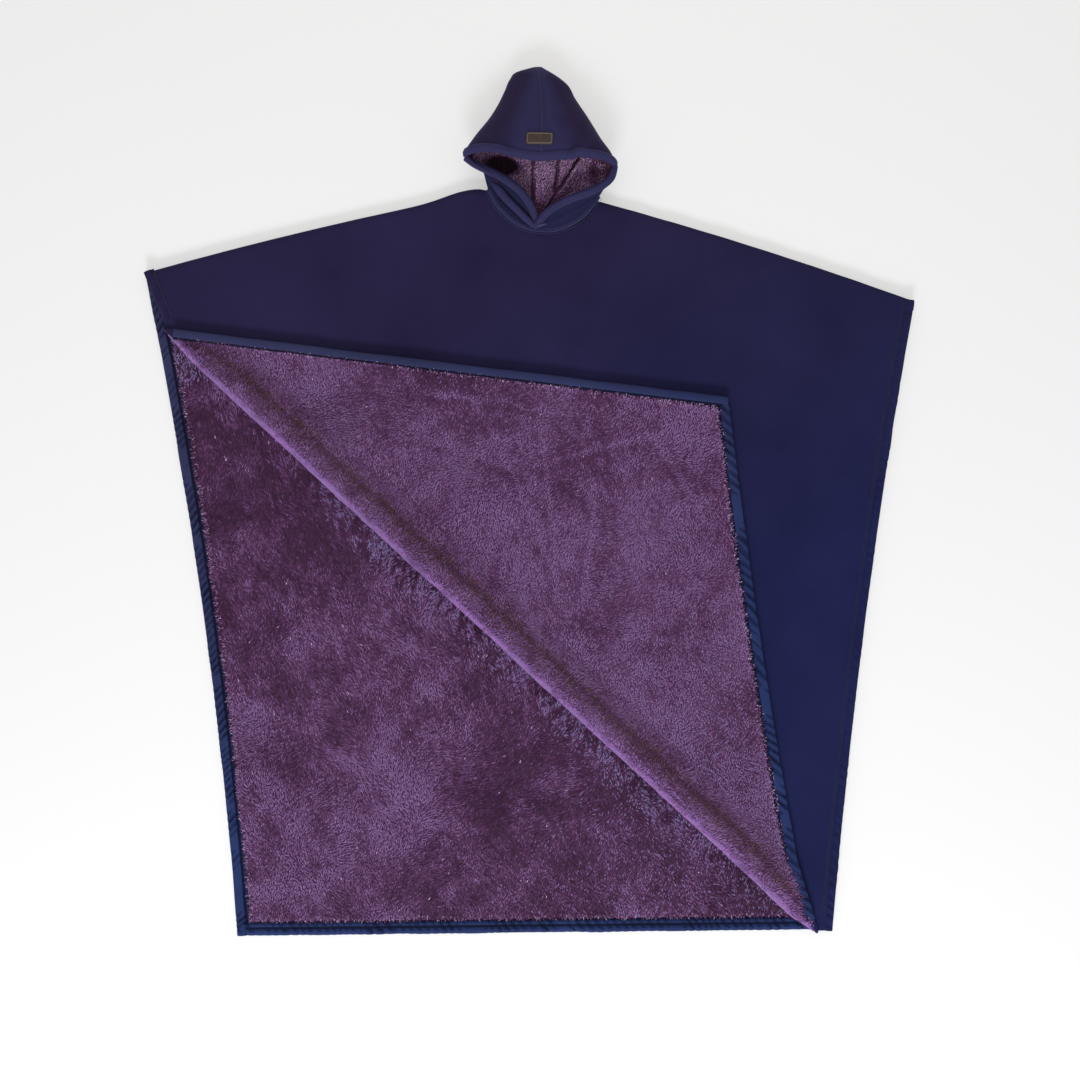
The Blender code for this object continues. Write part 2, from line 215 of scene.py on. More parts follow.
def away(points, line):
    """Distance of each plan point from a line."""
    best = np.full(len(points), 9.0)
    for a, b in zip(line[:-1], line[1:]):
        ab = b - a
        t = np.clip(((points - a) @ ab) / max(ab @ ab, 1e-12), 0, 1)
        best = np.minimum(best, np.linalg.norm(points - a - t[:, None] * ab, axis=1))
    return best


def inside(points, loop):
    """Whether each plan point is inside a closed loop."""
    x, y = points[:, 0], points[:, 1]
    hit = np.zeros(len(points), bool)
    for a, b in zip(loop, np.roll(loop, -1, axis=0)):
        crosses = (a[1] > y) != (b[1] > y)
        with np.errstate(divide="ignore", invalid="ignore"):
            at = (b[0] - a[0]) * (y - a[1]) / (b[1] - a[1]) + a[0]
        hit ^= crosses & (x < at)
    return hit


NEAR_ENDS = 0.0, 0.0007, 0.002, 0.0045, 0.008, 0.0125, 0.0175, 0.0195, 0.0215, 0.0235, 0.028


def spread(length, step):
    """Shares from 0 to 1 for grid lines about step apart, closer together along both ends."""
    ends = np.array(NEAR_ENDS)
    middle = np.linspace(ends[-1], length - ends[-1], max(2, int((length - 2 * ends[-1]) / step)) + 1)
    return np.concatenate([ends[:-1], middle, (length - ends[:-1])[::-1]]) / length


# ---------------------------------------------------------------- meshes

def linked(name, data, finishes, rounded_look=True):
    """The object that shows a mesh, with its finishes."""
    for finish in finishes:
        data.materials.append(finish)
    if rounded_look:
        data.polygons.foreach_set("use_smooth", [True] * len(data.polygons))
    obj = bpy.data.objects.new(name, data)
    bpy.context.scene.collection.objects.link(obj)
    return obj


def mesh_object(name, vertices, faces, finish):
    """An object made from points and faces."""
    data = bpy.data.meshes.new(name)
    data.from_pydata(np.asarray(vertices, float).tolist(), [], faces)
    return linked(name, data, [finish])


def quads(nu, nv):
    """The faces of a grid of nu by nv points."""
    i, j = np.meshgrid(np.arange(nu - 1), np.arange(nv - 1), indexing="ij")
    i, j = i.ravel(), j.ravel()
    return np.stack([i * nv + j, (i + 1) * nv + j, (i + 1) * nv + j + 1, i * nv + j + 1], -1)


def slab(name, top, under, finish):
    """A closed cloth from two grids of points of the same shape, top and under."""
    nu, nv = top.shape[:2]
    f = quads(nu, nv)
    count = nu * nv
    ring = [(i, 0) for i in range(nu)] + [(nu - 1, j) for j in range(1, nv)]
    ring += [(i, nv - 1) for i in range(nu - 2, -1, -1)] + [(0, j) for j in range(nv - 2, 0, -1)]
    r = np.array([i * nv + j for i, j in ring])
    nxt = np.roll(r, -1)
    wall = np.stack([r + count, nxt + count, nxt, r], -1)
    faces = np.concatenate([f, f[:, ::-1] + count, wall])
    vertices = np.concatenate([top.reshape(-1, 3), under.reshape(-1, 3)])
    return mesh_object(name, vertices, faces.tolist(), finish)


def tube_sheet(name, rows, finish):
    """A skin over a grid of points whose second direction closes on itself, with both ends capped."""
    nu, nv = rows.shape[:2]
    i, j = np.meshgrid(np.arange(nu - 1), np.arange(nv), indexing="ij")
    i, j = i.ravel(), j.ravel()
    k = (j + 1) % nv
    faces = np.stack([i * nv + j, i * nv + k, (i + 1) * nv + k, (i + 1) * nv + j], -1).tolist()
    faces.append(list(range(nv))[::-1])
    faces.append([(nu - 1) * nv + q for q in range(nv)])
    return mesh_object(name, rows.reshape(-1, 3), faces, finish)


def lifted(plan, z):
    """Plan points set at the heights z, or all at one height."""
    return np.concatenate([plan, np.broadcast_to(z, plan.shape[:-1])[..., None]], -1)


# ---------------------------------------------------------------- materials

class Nodes:
    """A short way to write a node tree."""

    def __init__(self, name):
        self.material = bpy.data.materials.new(name)
        self.material.use_nodes = True
        self.tree = self.material.node_tree
        self.shader = self.tree.nodes["Principled BSDF"]
        self.where = self.add("ShaderNodeTexCoord").outputs["Object"]

    def add(self, kind, **settings):
        node = self.tree.nodes.new(kind)
        for key, value in settings.items():
            setattr(node, key, value)
        return node

    def put(self, socket, value):
        """Sets a socket to a value, or links another node's output to it."""
        if hasattr(value, "links"):
            self.tree.links.new(value, socket)
        else:
            socket.default_value = value

    def set(self, node, **inputs):
        for key, value in inputs.items():
            self.put(node.inputs[key], value)

    def stretched(self, scale, turn=0.0):
        node = self.add("ShaderNodeMapping")
        node.inputs["Scale"].default_value = scale
        node.inputs["Rotation"].default_value = (0, 0, turn)
        self.tree.links.new(self.where, node.inputs["Vector"])
        return node.outputs["Vector"]

    def noise(self, size, detail=3.0, roughness=0.55, where=None):
        node = self.add("ShaderNodeTexNoise")
        self.set(node, Vector=where or self.where, Scale=1 / size, Detail=detail, Roughness=roughness)
        return node.outputs["Fac"]

    def ramp(self, factor, stops):
        node = self.add("ShaderNodeValToRGB")
        ramp = node.color_ramp
        while len(ramp.elements) < len(stops):
            ramp.elements.new(0.5)
        for element, (place, colour) in zip(ramp.elements, stops):
            element.position = place
            element.color = (*colour, 1)
        self.tree.links.new(factor, node.inputs["Fac"])
        return node.outputs["Color"]

    def mix(self, factor, a, b, blend="MIX"):
        node = self.add("ShaderNodeMix", data_type="RGBA", blend_type=blend)
        self.put(node.inputs[0], factor)
        for socket, value in ((node.inputs[6], a), (node.inputs[7], b)):
            self.put(socket, (*value, 1) if isinstance(value, tuple) else value)
        return node.outputs[2]

    def maths(self, kind, a, b=0.5):
        node = self.add("ShaderNodeMath", operation=kind)
        self.put(node.inputs[0], a)
        self.put(node.inputs[1], b)
        return node.outputs[0]

    def bump(self, height, strength, distance):
        node = self.add("ShaderNodeBump")
        self.set(node, Height=height, Strength=strength, Distance=distance)
        self.tree.links.new(node.outputs["Normal"], self.shader.inputs["Normal"])

    def finish(self, colour, roughness, sheen=0.0, tint=(1, 1, 1), sheen_roughness=0.5, specular=0.3):
        self.tree.links.new(colour, self.shader.inputs["Base Color"])
        self.put(self.shader.inputs["Roughness"], roughness)
        self.shader.inputs["Sheen Weight"].default_value = sheen
        self.shader.inputs["Sheen Tint"].default_value = (*tint, 1)
        self.shader.inputs["Sheen Roughness"].default_value = sheen_roughness
        self.shader.inputs["Specular IOR Level"].default_value = specular
        return self.material


def fleece(name, dark, light, grain=0.0011):
    """Brushed sweatshirt knit: a fine grain with faint ribs and cloudy wear, and a painted tint of light, bluer
    towards the lower right and warmer towards the upper left.
    """
    n = Nodes(name)
    clouds = n.noise(0.22, 4.0)
    fine = n.noise(grain, 2.0)
    ribs = n.noise(grain * 1.4, 1.0, where=n.stretched((1.0, 0.22, 1.0)))
    tone = n.maths("ADD", n.maths("MULTIPLY", clouds, 0.75), n.maths("MULTIPLY", fine, 0.25))
    colour = n.ramp(tone, [(0.28, dark), (0.72, light)])
    # painted light: a tint by place, bluer towards the lower right where the light is bluish, warmer towards the
    # upper left
    split = n.add("ShaderNodeSeparateXYZ")
    n.tree.links.new(n.where, split.inputs[0])
    low_right = n.maths("SUBTRACT", n.maths("MULTIPLY", split.outputs[0], 0.5), split.outputs[1])
    painted_light_tint = n.ramp(n.maths("ADD", low_right, 0.5), [(0.05, (1.12, 1.0, 1.0)), (0.9, (0.62, 0.95, 1.22))])
    colour = n.mix(1.0, colour, painted_light_tint, "MULTIPLY")
    n.bump(n.maths("ADD", fine, ribs), 0.35, 0.0006)
    return n.finish(colour, 0.86, sheen=0.12, tint=(0.45, 0.47, 0.9), sheen_roughness=0.45, specular=0.12)


def hood_cloth(name):
    """The fleece of the hood: bluer on the crown, and darker and wine-tinted down its sides and at its peak, the
    darkening painted shade where the hood rounds away from the light.
    """
    n = Nodes(name)
    split = n.add("ShaderNodeSeparateXYZ")
    n.tree.links.new(n.where, split.inputs[0])
    x, y = split.outputs[0], split.outputs[1]
    off = n.maths("ABSOLUTE", n.maths("SUBTRACT", x, HOOD_X))
    slope = n.maths("MULTIPLY", n.maths("SUBTRACT", 0.905, y), 0.42)
    # painted shade: the fleece darkens the further each point lies round from the crown towards the sides and the
    # peak
    side = n.maths("DIVIDE", off, slope)
    clouds = n.maths("MULTIPLY", n.maths("SUBTRACT", n.noise(0.05, 3.0), 0.5), 0.7)
    stops = [(0.35, (0.029, 0.026, 0.083)), (1.0, (0.021, 0.0125, 0.046))]
    colour = n.ramp(n.maths("ADD", side, clouds), stops)
    n.bump(n.noise(0.0011, 2.0), 0.35, 0.0006)
    return n.finish(colour, 0.86, sheen=0.12, tint=(0.5, 0.47, 0.9), sheen_roughness=0.45, specular=0.12)


def plush(name, dark, middle, light):
    """Pile between the tufts: nap patches painted lighter and darker as the sheen that they catch, brushed streaks
    and a fine grain.
    """
    n = Nodes(name)
    # painted sheen: broad lighter and darker patches where the nap lies different ways
    patches = n.noise(0.16, 4.0, 0.6)
    streaks = n.noise(0.006, 3.0, 0.6, where=n.stretched((1.0, 0.45, 1.0), 0.5))
    fine = n.noise(0.0022, 2.0)
    tone = n.maths("ADD", n.maths("MULTIPLY", patches, 0.45),
                   n.maths("ADD", n.maths("MULTIPLY", streaks, 0.35), n.maths("MULTIPLY", fine, 0.2)))
    colour = n.ramp(tone, [(0.34, dark), (0.5, middle), (0.66, light)])
    n.bump(n.maths("ADD", streaks, fine), 0.8, 0.0025)
    return n.finish(colour, 0.92, sheen=0.35, tint=(0.75, 0.55, 0.95), sheen_roughness=0.4, specular=0.1)


def tuft_finish(name, colour, sheen=0.25):
    """One shade of pile; the shades are mixed tuft by tuft."""
    material = bpy.data.materials.new(name)
    material.use_nodes = True
    shader = material.node_tree.nodes["Principled BSDF"]
    shader.inputs["Base Color"].default_value = (*colour, 1)
    shader.inputs["Roughness"].default_value = 0.75
    shader.inputs["Sheen Weight"].default_value = sheen
    shader.inputs["Sheen Tint"].default_value = (0.8, 0.62, 1.0, 1)
    shader.inputs["Specular IOR Level"].default_value = 0.25
    return material


def leather(name):
    """Dark brown leather with fine pores."""
    n = Nodes(name)
    pores = n.noise(0.0014, 3.0, 0.6)
    wear = n.noise(0.012, 3.0)
    colour = n.ramp(n.maths("ADD", n.maths("MULTIPLY", pores, 0.4), n.maths("MULTIPLY", wear, 0.6)),
                    [(0.35, (0.022, 0.010, 0.006)), (0.65, (0.058, 0.030, 0.017))])
    n.bump(pores, 0.5, 0.0005)
    return n.finish(colour, 0.5, specular=0.45)


def thread_finish(name, colour):
    """Twisted thread."""
    n = Nodes(name)
    twist = n.noise(0.0008, 1.0, where=n.stretched((1.0, 1.0, 1.0), 0.6))
    shade = n.ramp(twist, [(0.3, tuple(c * 0.7 for c in colour)), (0.7, colour)])
    n.bump(twist, 0.5, 0.0003)
    return n.finish(shade, 0.6, sheen=0.3, tint=(0.6, 0.65, 1.0), specular=0.3)


# ---------------------------------------------------------------- the fold and the panels' lines

FOLD = next(j for j in FRAME["joints"] if j["name"] == "front_corner_fold")
FOLD_AT = np.array(FOLD["pos_m"])
ALONG = np.array(FOLD["axis"][:2]) / np.linalg.norm(FOLD["axis"][:2])
ACROSS = np.array([-ALONG[1], ALONG[0]])
NECK_LEFT, NECK_RIGHT = np.array([-0.078, 0.625]), np.array([0.134, 0.607])
FOLD_END = np.array([0.578, -0.8573])
FLAP_CORNER = np.array([0.397, 0.210])
FOLD_LENGTH = float((FOLD_END - FOLD_AT[:2]) @ ALONG)


def on_fold(s, u):
    """Plan points that far along the fold and that far across it."""
    return FOLD_AT[:2] + ALONG * s[:, None] + ACROSS * u[:, None]


def fold_place(x, y):
    """How far along the fold and across it, into the flap, each plan point is."""
    dx, dy = np.asarray(x) - FOLD_AT[0], np.asarray(y) - FOLD_AT[1]
    return dx * ALONG[0] + dy * ALONG[1], dx * ACROSS[0] + dy * ACROSS[1]


def nearest(loop, point):
    """Which of a loop's points is nearest to a place."""
    return int(np.argmin(np.linalg.norm(loop - point, axis=1)))


def panel_lines(node):
    """The five sides of a panel, from its CAD shell's outline; each line runs left to right or upwards."""
    loop = outline(node)
    hem_right = corner(loop, (0.6, -1.0))
    tip_right, tip_left = corner(loop, (1.0, 0.35)), corner(loop, (-1.0, 0.35))
    neck_right, neck_left = nearest(loop, NECK_RIGHT), nearest(loop, NECK_LEFT)
    low_left = nearest(loop, FOLD_AT[:2]) if node == "front_shell" else corner(loop, (-0.6, -1.0))
    return {
        "low": run(loop, low_left, hem_right),
        "right": run(loop, hem_right, tip_right),
        "shoulder_right": run(loop, tip_right, neck_right),
        "neck": run(loop, neck_right, neck_left),
        "shoulder_left": run(loop, neck_left, tip_left),
        "left": run(loop, tip_left, low_left)[::-1],
        "loop": loop,
    }


def grown(lines, reach=SEAM_REACH):
    """The shoulders moved out to the seam's own outer edge."""
    for key in ("shoulder_right", "shoulder_left"):
        line = along(lines[key], np.linspace(0, 1, 60))
        lines[key] = offset(line, -reach)
        lift = 0.0115 * np.exp(-((line[:, 0] + 0.125) / 0.060) ** 2) * smooth(-0.078, -0.095, line[:, 0])
        lines[key][:, 1] += lift
    for side, shoulder, end in (("right", "shoulder_right", 0), ("left", "shoulder_left", -1)):
        lines[side] = np.concatenate([lines[side][:-1], lines[shoulder][end][None]])
    ends = lines["shoulder_right"][-1:], lines["shoulder_left"][:1]
    lines["neck"] = np.concatenate([ends[0], lines["neck"][1:-1], ends[1]])
    return lines


def pieced(parts, counts):
    """One line through several, with that many steps in each."""
    made = [along(line, np.linspace(0, 1, n + 1))[(0 if k == 0 else 1):]
            for k, (line, n) in enumerate(zip(parts, counts))]
    return np.concatenate(made)


def coons(low, high, left, right, v):
    """A grid of plan points filling four lines."""
    a, b = along(left, v), along(right, v)
    s = lengths(low) / max(lengths(low)[-1], 1e-9)
    u = s[:, None, None]
    w = np.asarray(v)[None, :, None]
    flat = ((1 - u) * (1 - w) * low[0] + u * (1 - w) * low[-1] + (1 - u) * w * high[0] + u * w * high[-1])
    return (1 - w) * low[:, None] + w * high[:, None] + (1 - u) * a[None] + u * b[None] - flat


def rim(distance, radius=0.012):
    """0 at an edge, rising to 1 like the round of a turned edge."""
    t = np.clip(distance / radius, 0, 1)
    return np.sqrt(np.clip(1 - (1 - t) ** 2, 0, 1))


class Sheets:
    """A cloth made from several grids, each with an inner and an outer skin, joined at shared points."""

    def __init__(self):
        self.inner, self.outer, self.faces, self.count = [], [], [], 0

    def add(self, inner, outer):
        nu, nv = inner.shape[:2]
        self.inner.append(inner.reshape(-1, 3))
        self.outer.append(outer.reshape(-1, 3))
        self.faces.append(quads(nu, nv) + self.count)
        self.count += nu * nv

    def build(self, name, finish):
        inner, outer, faces = (np.concatenate(x) for x in (self.inner, self.outer, self.faces))
        key = np.round(np.concatenate([inner, outer], 1) * 2e4).astype(np.int64)
        _, first, back = np.unique(key, axis=0, return_index=True, return_inverse=True)
        back = back.reshape(-1)
        inner, outer, faces = inner[first], outer[first], back[faces]
        count = len(inner)
        clean = []
        for f in faces.tolist():
            ring = [a for k, a in enumerate(f) if a != f[k - 1]]
            if len(ring) >= 3:
                clean.append(ring)
        edges = {}
        for ring in clean:
            for a, b in zip(ring, ring[1:] + ring[:1]):
                edges[(a, b)] = True
        walls = [[b, a, a + count, b + count] for a, b in edges if (b, a) not in edges]
        under = [[i + count for i in ring[::-1]] for ring in clean]
        obj = mesh_object(name, np.concatenate([inner, outer]), clean + under + walls, finish)
        obj.data.validate()
        return obj


# ---------------------------------------------------------------- heights

def back_height(x, y):
    """Top of the back's lining, under its pile."""
    s, u = fold_place(x, y)
    ruffle = np.exp(-((u + 0.045) / 0.022) ** 2) * smooth(0.30, 0.8, s)
    ruffle = ruffle * smooth(FOLD_LENGTH, FOLD_LENGTH - 0.12, s)
    waves = value_noise(s, u * 0.5, 0.016, 31) * 0.0022 + 0.002
    return 0.0088 + 0.0011 * cloudy(x, y, 0.09, 11) + ruffle * waves


def front_height(x, y):
    """Top of the front's shell, where it lies open."""
    return 0.0186 + 0.0013 * cloudy(x, y, 0.30, 5) + 0.0003 * cloudy(x, y, 0.05, 6)


def flap_height(x, y):
    """Top of the turned-back corner's lining, under its pile."""
    return 0.0300 + 0.0012 * cloudy(x, y, 0.11, 21)


def roll_span(s):
    """How much of the fold's roll there is at each place along it."""
    return smooth(-0.01, 0.20, s) * smooth(FOLD_LENGTH + 0.02, FOLD_LENGTH - 0.22, s)


def roll_wide(s):
    """How far the roll reaches over the flap, kept inside the flap's own edges."""
    wide = 0.030 + (ROLL_WIDTH - 0.030) * roll_span(s) * (1 + 0.12 * value_noise(s, s * 0, 0.13, 51))
    wide = np.minimum(wide, np.maximum(0.004, 0.771 * (FOLD_LENGTH - 0.034 - s)))
    return np.minimum(wide, np.maximum(0.004, 0.72 * (s - 0.030)))


def roll_ends(s):
    """Shrinks the roll to nothing at both ends of the fold."""
    return smooth(-0.004, 0.10, s) * smooth(FOLD_LENGTH + 0.002, FOLD_LENGTH - 0.07, s)


def roll_height(s, u):
    """Top of the roll that the bent cloth makes along the fold."""
    span = roll_span(s)
    wide = roll_wide(s)
    t = np.clip((u + RIDGE_OUT) / (wide + RIDGE_OUT), 0, 1)
    rise = np.sin(np.pi * t ** 0.42) ** 0.8
    rise = rise * (1 - 0.35 * smooth(0.45, 0.62, t)) + 0.10 * np.exp(-((t - 0.36) / 0.12) ** 2)
    lumps = 1 + 0.10 * value_noise(s, u, 0.045, 52) + 0.07 * value_noise(s, u, 0.016, 53)
    ends = roll_ends(s)
    return 0.0285 + (0.006 + (ROLL_HEIGHT - 0.006) * span) * rise * lumps * ends - 0.006 * (1 - ends)


# ---------------------------------------------------------------- stitched and rolled edges

def sweep(name, path, ring, finish):
    """A closed skin along a path; ring(s, i) gives the section's offsets to the left and up at each place."""
    path = np.asarray(path, float)
    s = lengths(path)
    d = np.gradient(path, axis=0)
    d /= np.linalg.norm(d, axis=1)[:, None] + 1e-12
    left = np.stack([-d[:, 1], d[:, 0], np.zeros(len(d))], -1)
    left /= np.linalg.norm(left, axis=1)[:, None] + 1e-12
    side, up = ring(s)
    rows = path[:, None, :] + left[:, None, :] * side[..., None]
    rows[..., 2] += up
    return tube_sheet(name, rows, finish)


def puckers(s, q, pitch, slant, seed):
    """Little diagonal creases where a seam gathers the cloth: 0 in a crease and 1 between."""
    wander = value_noise(s, s * 0, pitch * 6, seed) * 1.2 + value_noise(s, s * 0, pitch * 2, seed + 1) * 0.3
    wave = np.abs(np.sin(np.pi * (s / pitch + q * slant + wander)))
    depth = np.clip(0.46 + 0.70 * value_noise(s, q * 0.02, pitch * 1.7, seed + 2), 0, 1)
    return 1 - (1 - wave ** 0.6) * depth


def band(name, line, width, low, high, finish, step=0.0028, pitch=0.016, slant=0.9, seed=1, depth=0.0060,
         groove=0.80, groove_wide=0.06, shades=(), look=(0.0, 0.8, 2.0)):
    """A turned binding: a soft flat roll inside a line that runs anticlockwise, with puckers."""
    path = along(line, np.linspace(0, 1, int(lengths(line)[-1] / step)))
    path = lifted(path, (low + high) / 2)
    phi = np.concatenate([np.linspace(0, np.pi, 17)[:-1], np.linspace(np.pi, 2 * np.pi, 7)[:-1]])
    c = np.sign(np.cos(phi)) * np.abs(np.cos(phi)) ** 0.9
    h = np.sign(np.sin(phi)) * np.abs(np.sin(phi)) ** 0.55

    def ring(s):
        q = (1 - c)[None, :] / 2
        fold = puckers(s[:, None], q, pitch, slant, seed)
        edge = value_noise(s, s * 0, 0.05, seed + 5)[:, None] * 0.0012
        side = width * q + edge * (1 - q) - 0.0008 * (1 - fold) * (c < 0) + 0.0012 * (1 - q) * (1 - fold)
        up = (high - low) / 2 * h[None, :] - depth * (1 - fold) * np.clip(h, 0, 1)[None, :]
        up = up + 0.0008 * value_noise(s[:, None], q * 0.026, 0.02, seed + 7) * np.clip(h, 0, 1)[None, :]
        line_in = 0.0030 * np.exp(-((q - groove) / groove_wide) ** 2) * np.clip(h, 0, 1)[None, :]
        up = up - line_in
        return side, up

    obj = sweep(name, path, ring, finish)
    for other in shades:
        obj.data.materials.append(other)
    if shades:
        tint_band(obj, lengths(path), (1 - c) / 2, h, pitch, slant, seed, look)
    return obj


def tint_band(obj, s, q, h, pitch, slant, seed, look):
    """Picks a darker finish down in the creases, in the groove and along the inner edge, as painted shade, and a
    paler one on the crowns between the creases and on the outer lobe, as painted highlight.
    """
    ns, nq = len(s) - 1, len(q)
    mid_s = ((s[:-1] + s[1:]) / 2)[:, None]
    mid_q = ((q + np.roll(q, -1)) / 2)[None, :]
    fold = puckers(mid_s, mid_q, pitch, slant, seed)
    which = np.where(fold < 0.50, 1, np.where(fold > 0.93, 2, 0))
    outer, groove, inner = look
    # painted highlight on the outer lobe; painted shade in the groove and along the inner edge
    which = np.where((mid_q < outer) & (fold > 0.6), 2, which)
    which = np.where(np.abs(mid_q - groove) < 0.09, 1, which)
    which = np.where(mid_q > inner, 1, which)
    mid_h = ((h + np.roll(h, -1)) / 2)[None, :]
    which = np.where(mid_h < -0.1, 0, which)
    index = np.zeros(len(obj.data.polygons), int)
    index[:ns * nq] = which.ravel()
    obj.data.polygons.foreach_set("material_index", index)


def stitches(name, path, finish, pitch=0.0042, length=0.0031, radius=0.00055):
    """A row of separate stitches lying along a path."""
    s = lengths(path)
    starts = np.arange(pitch / 2, s[-1] - length, pitch)
    a = np.stack([np.interp(starts, s, path[:, k]) for k in range(3)], -1)
    b = np.stack([np.interp(starts + length, s, path[:, k]) for k in range(3)], -1)
    d = (b - a) / (np.linalg.norm(b - a, axis=1)[:, None] + 1e-12)
    left = np.stack([-d[:, 1], d[:, 0], d[:, 0] * 0], -1)
    left /= np.linalg.norm(left, axis=1)[:, None] + 1e-12
    up = np.cross(d, left)
    up *= np.sign(up[:, 2:3] + 1e-9)
    vertices, faces = [], []
    angles = np.arange(5) * 2 * np.pi / 5
    for t, r in ((0.0, 0.35), (0.25, 1.0), (0.75, 1.0), (1.0, 0.35)):
        for angle in angles:
            lift = up * (math.sin(angle) * radius * r) + left * (math.cos(angle) * radius * r)
            vertices.append(a * (1 - t) + b * t + lift)
    v = np.stack(vertices, 1).reshape(-1, 3)
    base = np.arange(len(a)) * 20
    for k in range(3):
        for j in range(5):
            here, there = base + k * 5 + j, base + k * 5 + (j + 1) % 5
            faces.append(np.stack([here, there, there + 5, here + 5], -1))
    faces = np.concatenate(faces).tolist()
    faces += [[int(q) + j for j in (4, 3, 2, 1, 0)] for q in base]
    faces += [[int(q) + 15 + j for j in range(5)] for q in base]
    return mesh_object(name, v, faces, finish)


# ---------------------------------------------------------------- pile

def pile(name, base, lean, long, wide, tilt, shade, finishes):
    """Tufts: one blade at each base point, leaning that way, in one of the shades."""
    n = len(base)
    d = np.concatenate([lean * np.sin(tilt)[:, None], np.cos(tilt)[:, None]], 1)
    twist = rng.uniform(-0.5, 0.5, n)
    across = np.stack([-lean[:, 1], lean[:, 0], np.zeros(n)], -1)
    across[:, 2] = twist * 0.5
    half = across * (wide / 2)[:, None]
    tip = base + d * long[:, None]
    vertices = np.stack([base - half, base + half, tip], 1).reshape(-1, 3)
    faces = np.arange(3 * n).reshape(-1, 3)
    data = bpy.data.meshes.new(name)
    data.vertices.add(3 * n)
    data.vertices.foreach_set("co", vertices.ravel())
    data.loops.add(3 * n)
    data.loops.foreach_set("vertex_index", faces.ravel())
    data.polygons.add(n)
    data.polygons.foreach_set("loop_start", np.arange(0, 3 * n, 3))
    obj = linked(name, data, finishes, False)
    data.polygons.foreach_set("material_index", np.clip(shade, 0, len(finishes) - 1).astype(int))
    data.update()
    data.validate()
    return obj


def nap(x, y, base_angle, swing, seed):
    """Which way the pile lies: a brushed direction that wanders in patches."""
    angle = base_angle + swing * cloudy(x, y, 0.11, seed, 4) * 1.6 + 0.5 * value_noise(x, y, 0.012, seed + 9)
    angle = angle + rng.uniform(-0.35, 0.35, len(x))
    return np.stack([np.cos(angle), np.sin(angle)], -1)


def scattered(low, high, spacing):
    """Points on a jittered lattice over a plan box."""
    xs, ys = np.arange(low[0], high[0], spacing), np.arange(low[1], high[1], spacing)
    x, y = (q.ravel() for q in np.meshgrid(xs, ys))
    return np.stack([x, y], -1) + rng.uniform(-0.5, 0.5, (len(x), 2)) * spacing


# ---------------------------------------------------------------- the panels

def top_line(lines, counts):
    """A panel's upper side from left to right: shoulder, neck, shoulder, with that many steps in each."""
    return pieced([lines[key][::-1] for key in ("shoulder_left", "neck", "shoulder_right")], counts)


def gap(plan, line):
    """Distance of each point of a plan grid from a line."""
    return away(plan.reshape(-1, 2), line).reshape(plan.shape[:2])


def back_grid(lines, across, upwards):
    """A grid of plan points over the back panel, spaced by those shares."""
    low = along(lines["low"], np.linspace(0, 1, sum(BACK_STEPS) + 1))
    low, high = respaced(low, top_line(lines, BACK_STEPS), across)
    return coons(low, high, lines["left"], lines["right"], upwards)


def make_back(m, lines):
    """The back panel's shell and its lining; gives the lining's outline."""
    plan = back_grid(lines, spread(1.3, 0.009), spread(1.4, 0.011))
    sides = [lines[key] for key in ("low", "right", "shoulder_right", "shoulder_left")]
    edge = rim(gap(plan, np.concatenate(sides + [lines["left"][::-1]])), 0.010)
    bottom = 0.0045 * (1 - edge) + 0.0003 * (1 + value_noise(plan[..., 0], plan[..., 1], 0.06, 3))
    top = np.maximum(bottom + 0.0016, 0.0040)
    shell = slab("back_fleece", lifted(plan, top), lifted(plan, bottom), m["shell"])
    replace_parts(shell, "back_shell")

    inner = panel_lines("back_lining")
    loop = inner["loop"]
    plan = back_grid(inner, spread(1.25, 0.0076), spread(1.35, 0.0076))
    edge = rim(gap(plan, np.concatenate([loop, loop[:1]])), 0.010)
    top = 0.0048 + (back_height(plan[..., 0], plan[..., 1]) - 0.0048) * edge
    lining = slab("back_plush", lifted(plan, top), lifted(plan, 0.0042), m["plush"])
    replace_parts(lining, "back_lining")
    return loop


def corner_edges(loop, far, start, end):
    """The turned-back corner's upper edge and its hem, from those places on the fold to its far corner."""
    upper = run(loop, far, nearest(loop, FOLD_AT[:2]))[::-1]
    hem = run(loop, nearest(loop, FOLD_END), far)
    return np.concatenate([start[None], upper[1:]]), np.concatenate([end[None], hem[1:]])


def corner_grid(columns, upper, hem, upwards):
    """A grid of plan points over the turned-back corner, and how far each is from its two free edges."""
    far = along(upper, np.linspace(0, 1, FOLD_STEPS + 1))
    plan = coons(columns, far, upper[[0, 0]], hem, upwards)
    return plan, gap(plan, np.concatenate([upper, hem[::-1]]))


def bend(columns, below, above, thick):
    """Half a turn about the fold, from the height below to the height above, that far outside them."""
    middle, radius = (above + below) / 2, (above - below) / 2 + thick
    rows = []
    for angle in np.linspace(0, np.pi, 9):
        out = columns - ACROSS * (radius * math.sin(angle))[:, None]
        rows.append(np.concatenate([out, (middle - radius * math.cos(angle))[:, None]], 1))
    return np.stack(rows, 1)[:, ::-1]


def front_top(plan, lines, stub):
    """Top of the front's shell over its own grid: dropped at its edges, and dimpled at the right shoulder."""
    right_side = np.concatenate([stub, lines["right"], lines["shoulder_right"]])
    left_side = np.concatenate([lines["shoulder_left"], lines["left"][::-1]])
    edge = np.minimum(gap(plan, right_side), gap(plan, left_side))
    s, u = fold_place(plan[..., 0], plan[..., 1])
    at_fold = smooth(0.030, 0.0, u) * smooth(-0.02, 0.02, s)
    z = front_height(plan[..., 0], plan[..., 1])
    z = z * (1 - at_fold) + 0.0199 * at_fold
    shoulders = np.minimum(gap(plan, lines["shoulder_right"]), gap(plan, lines["shoulder_left"]))
    drop = 0.0075 * (1 - rim(shoulders, 0.014)) + 0.003 * (1 - rim(edge, 0.006)) * (shoulders > 0.02)
    return np.minimum(z, FRONT_TOP) - drop - scallops(plan, lines["shoulder_right"])


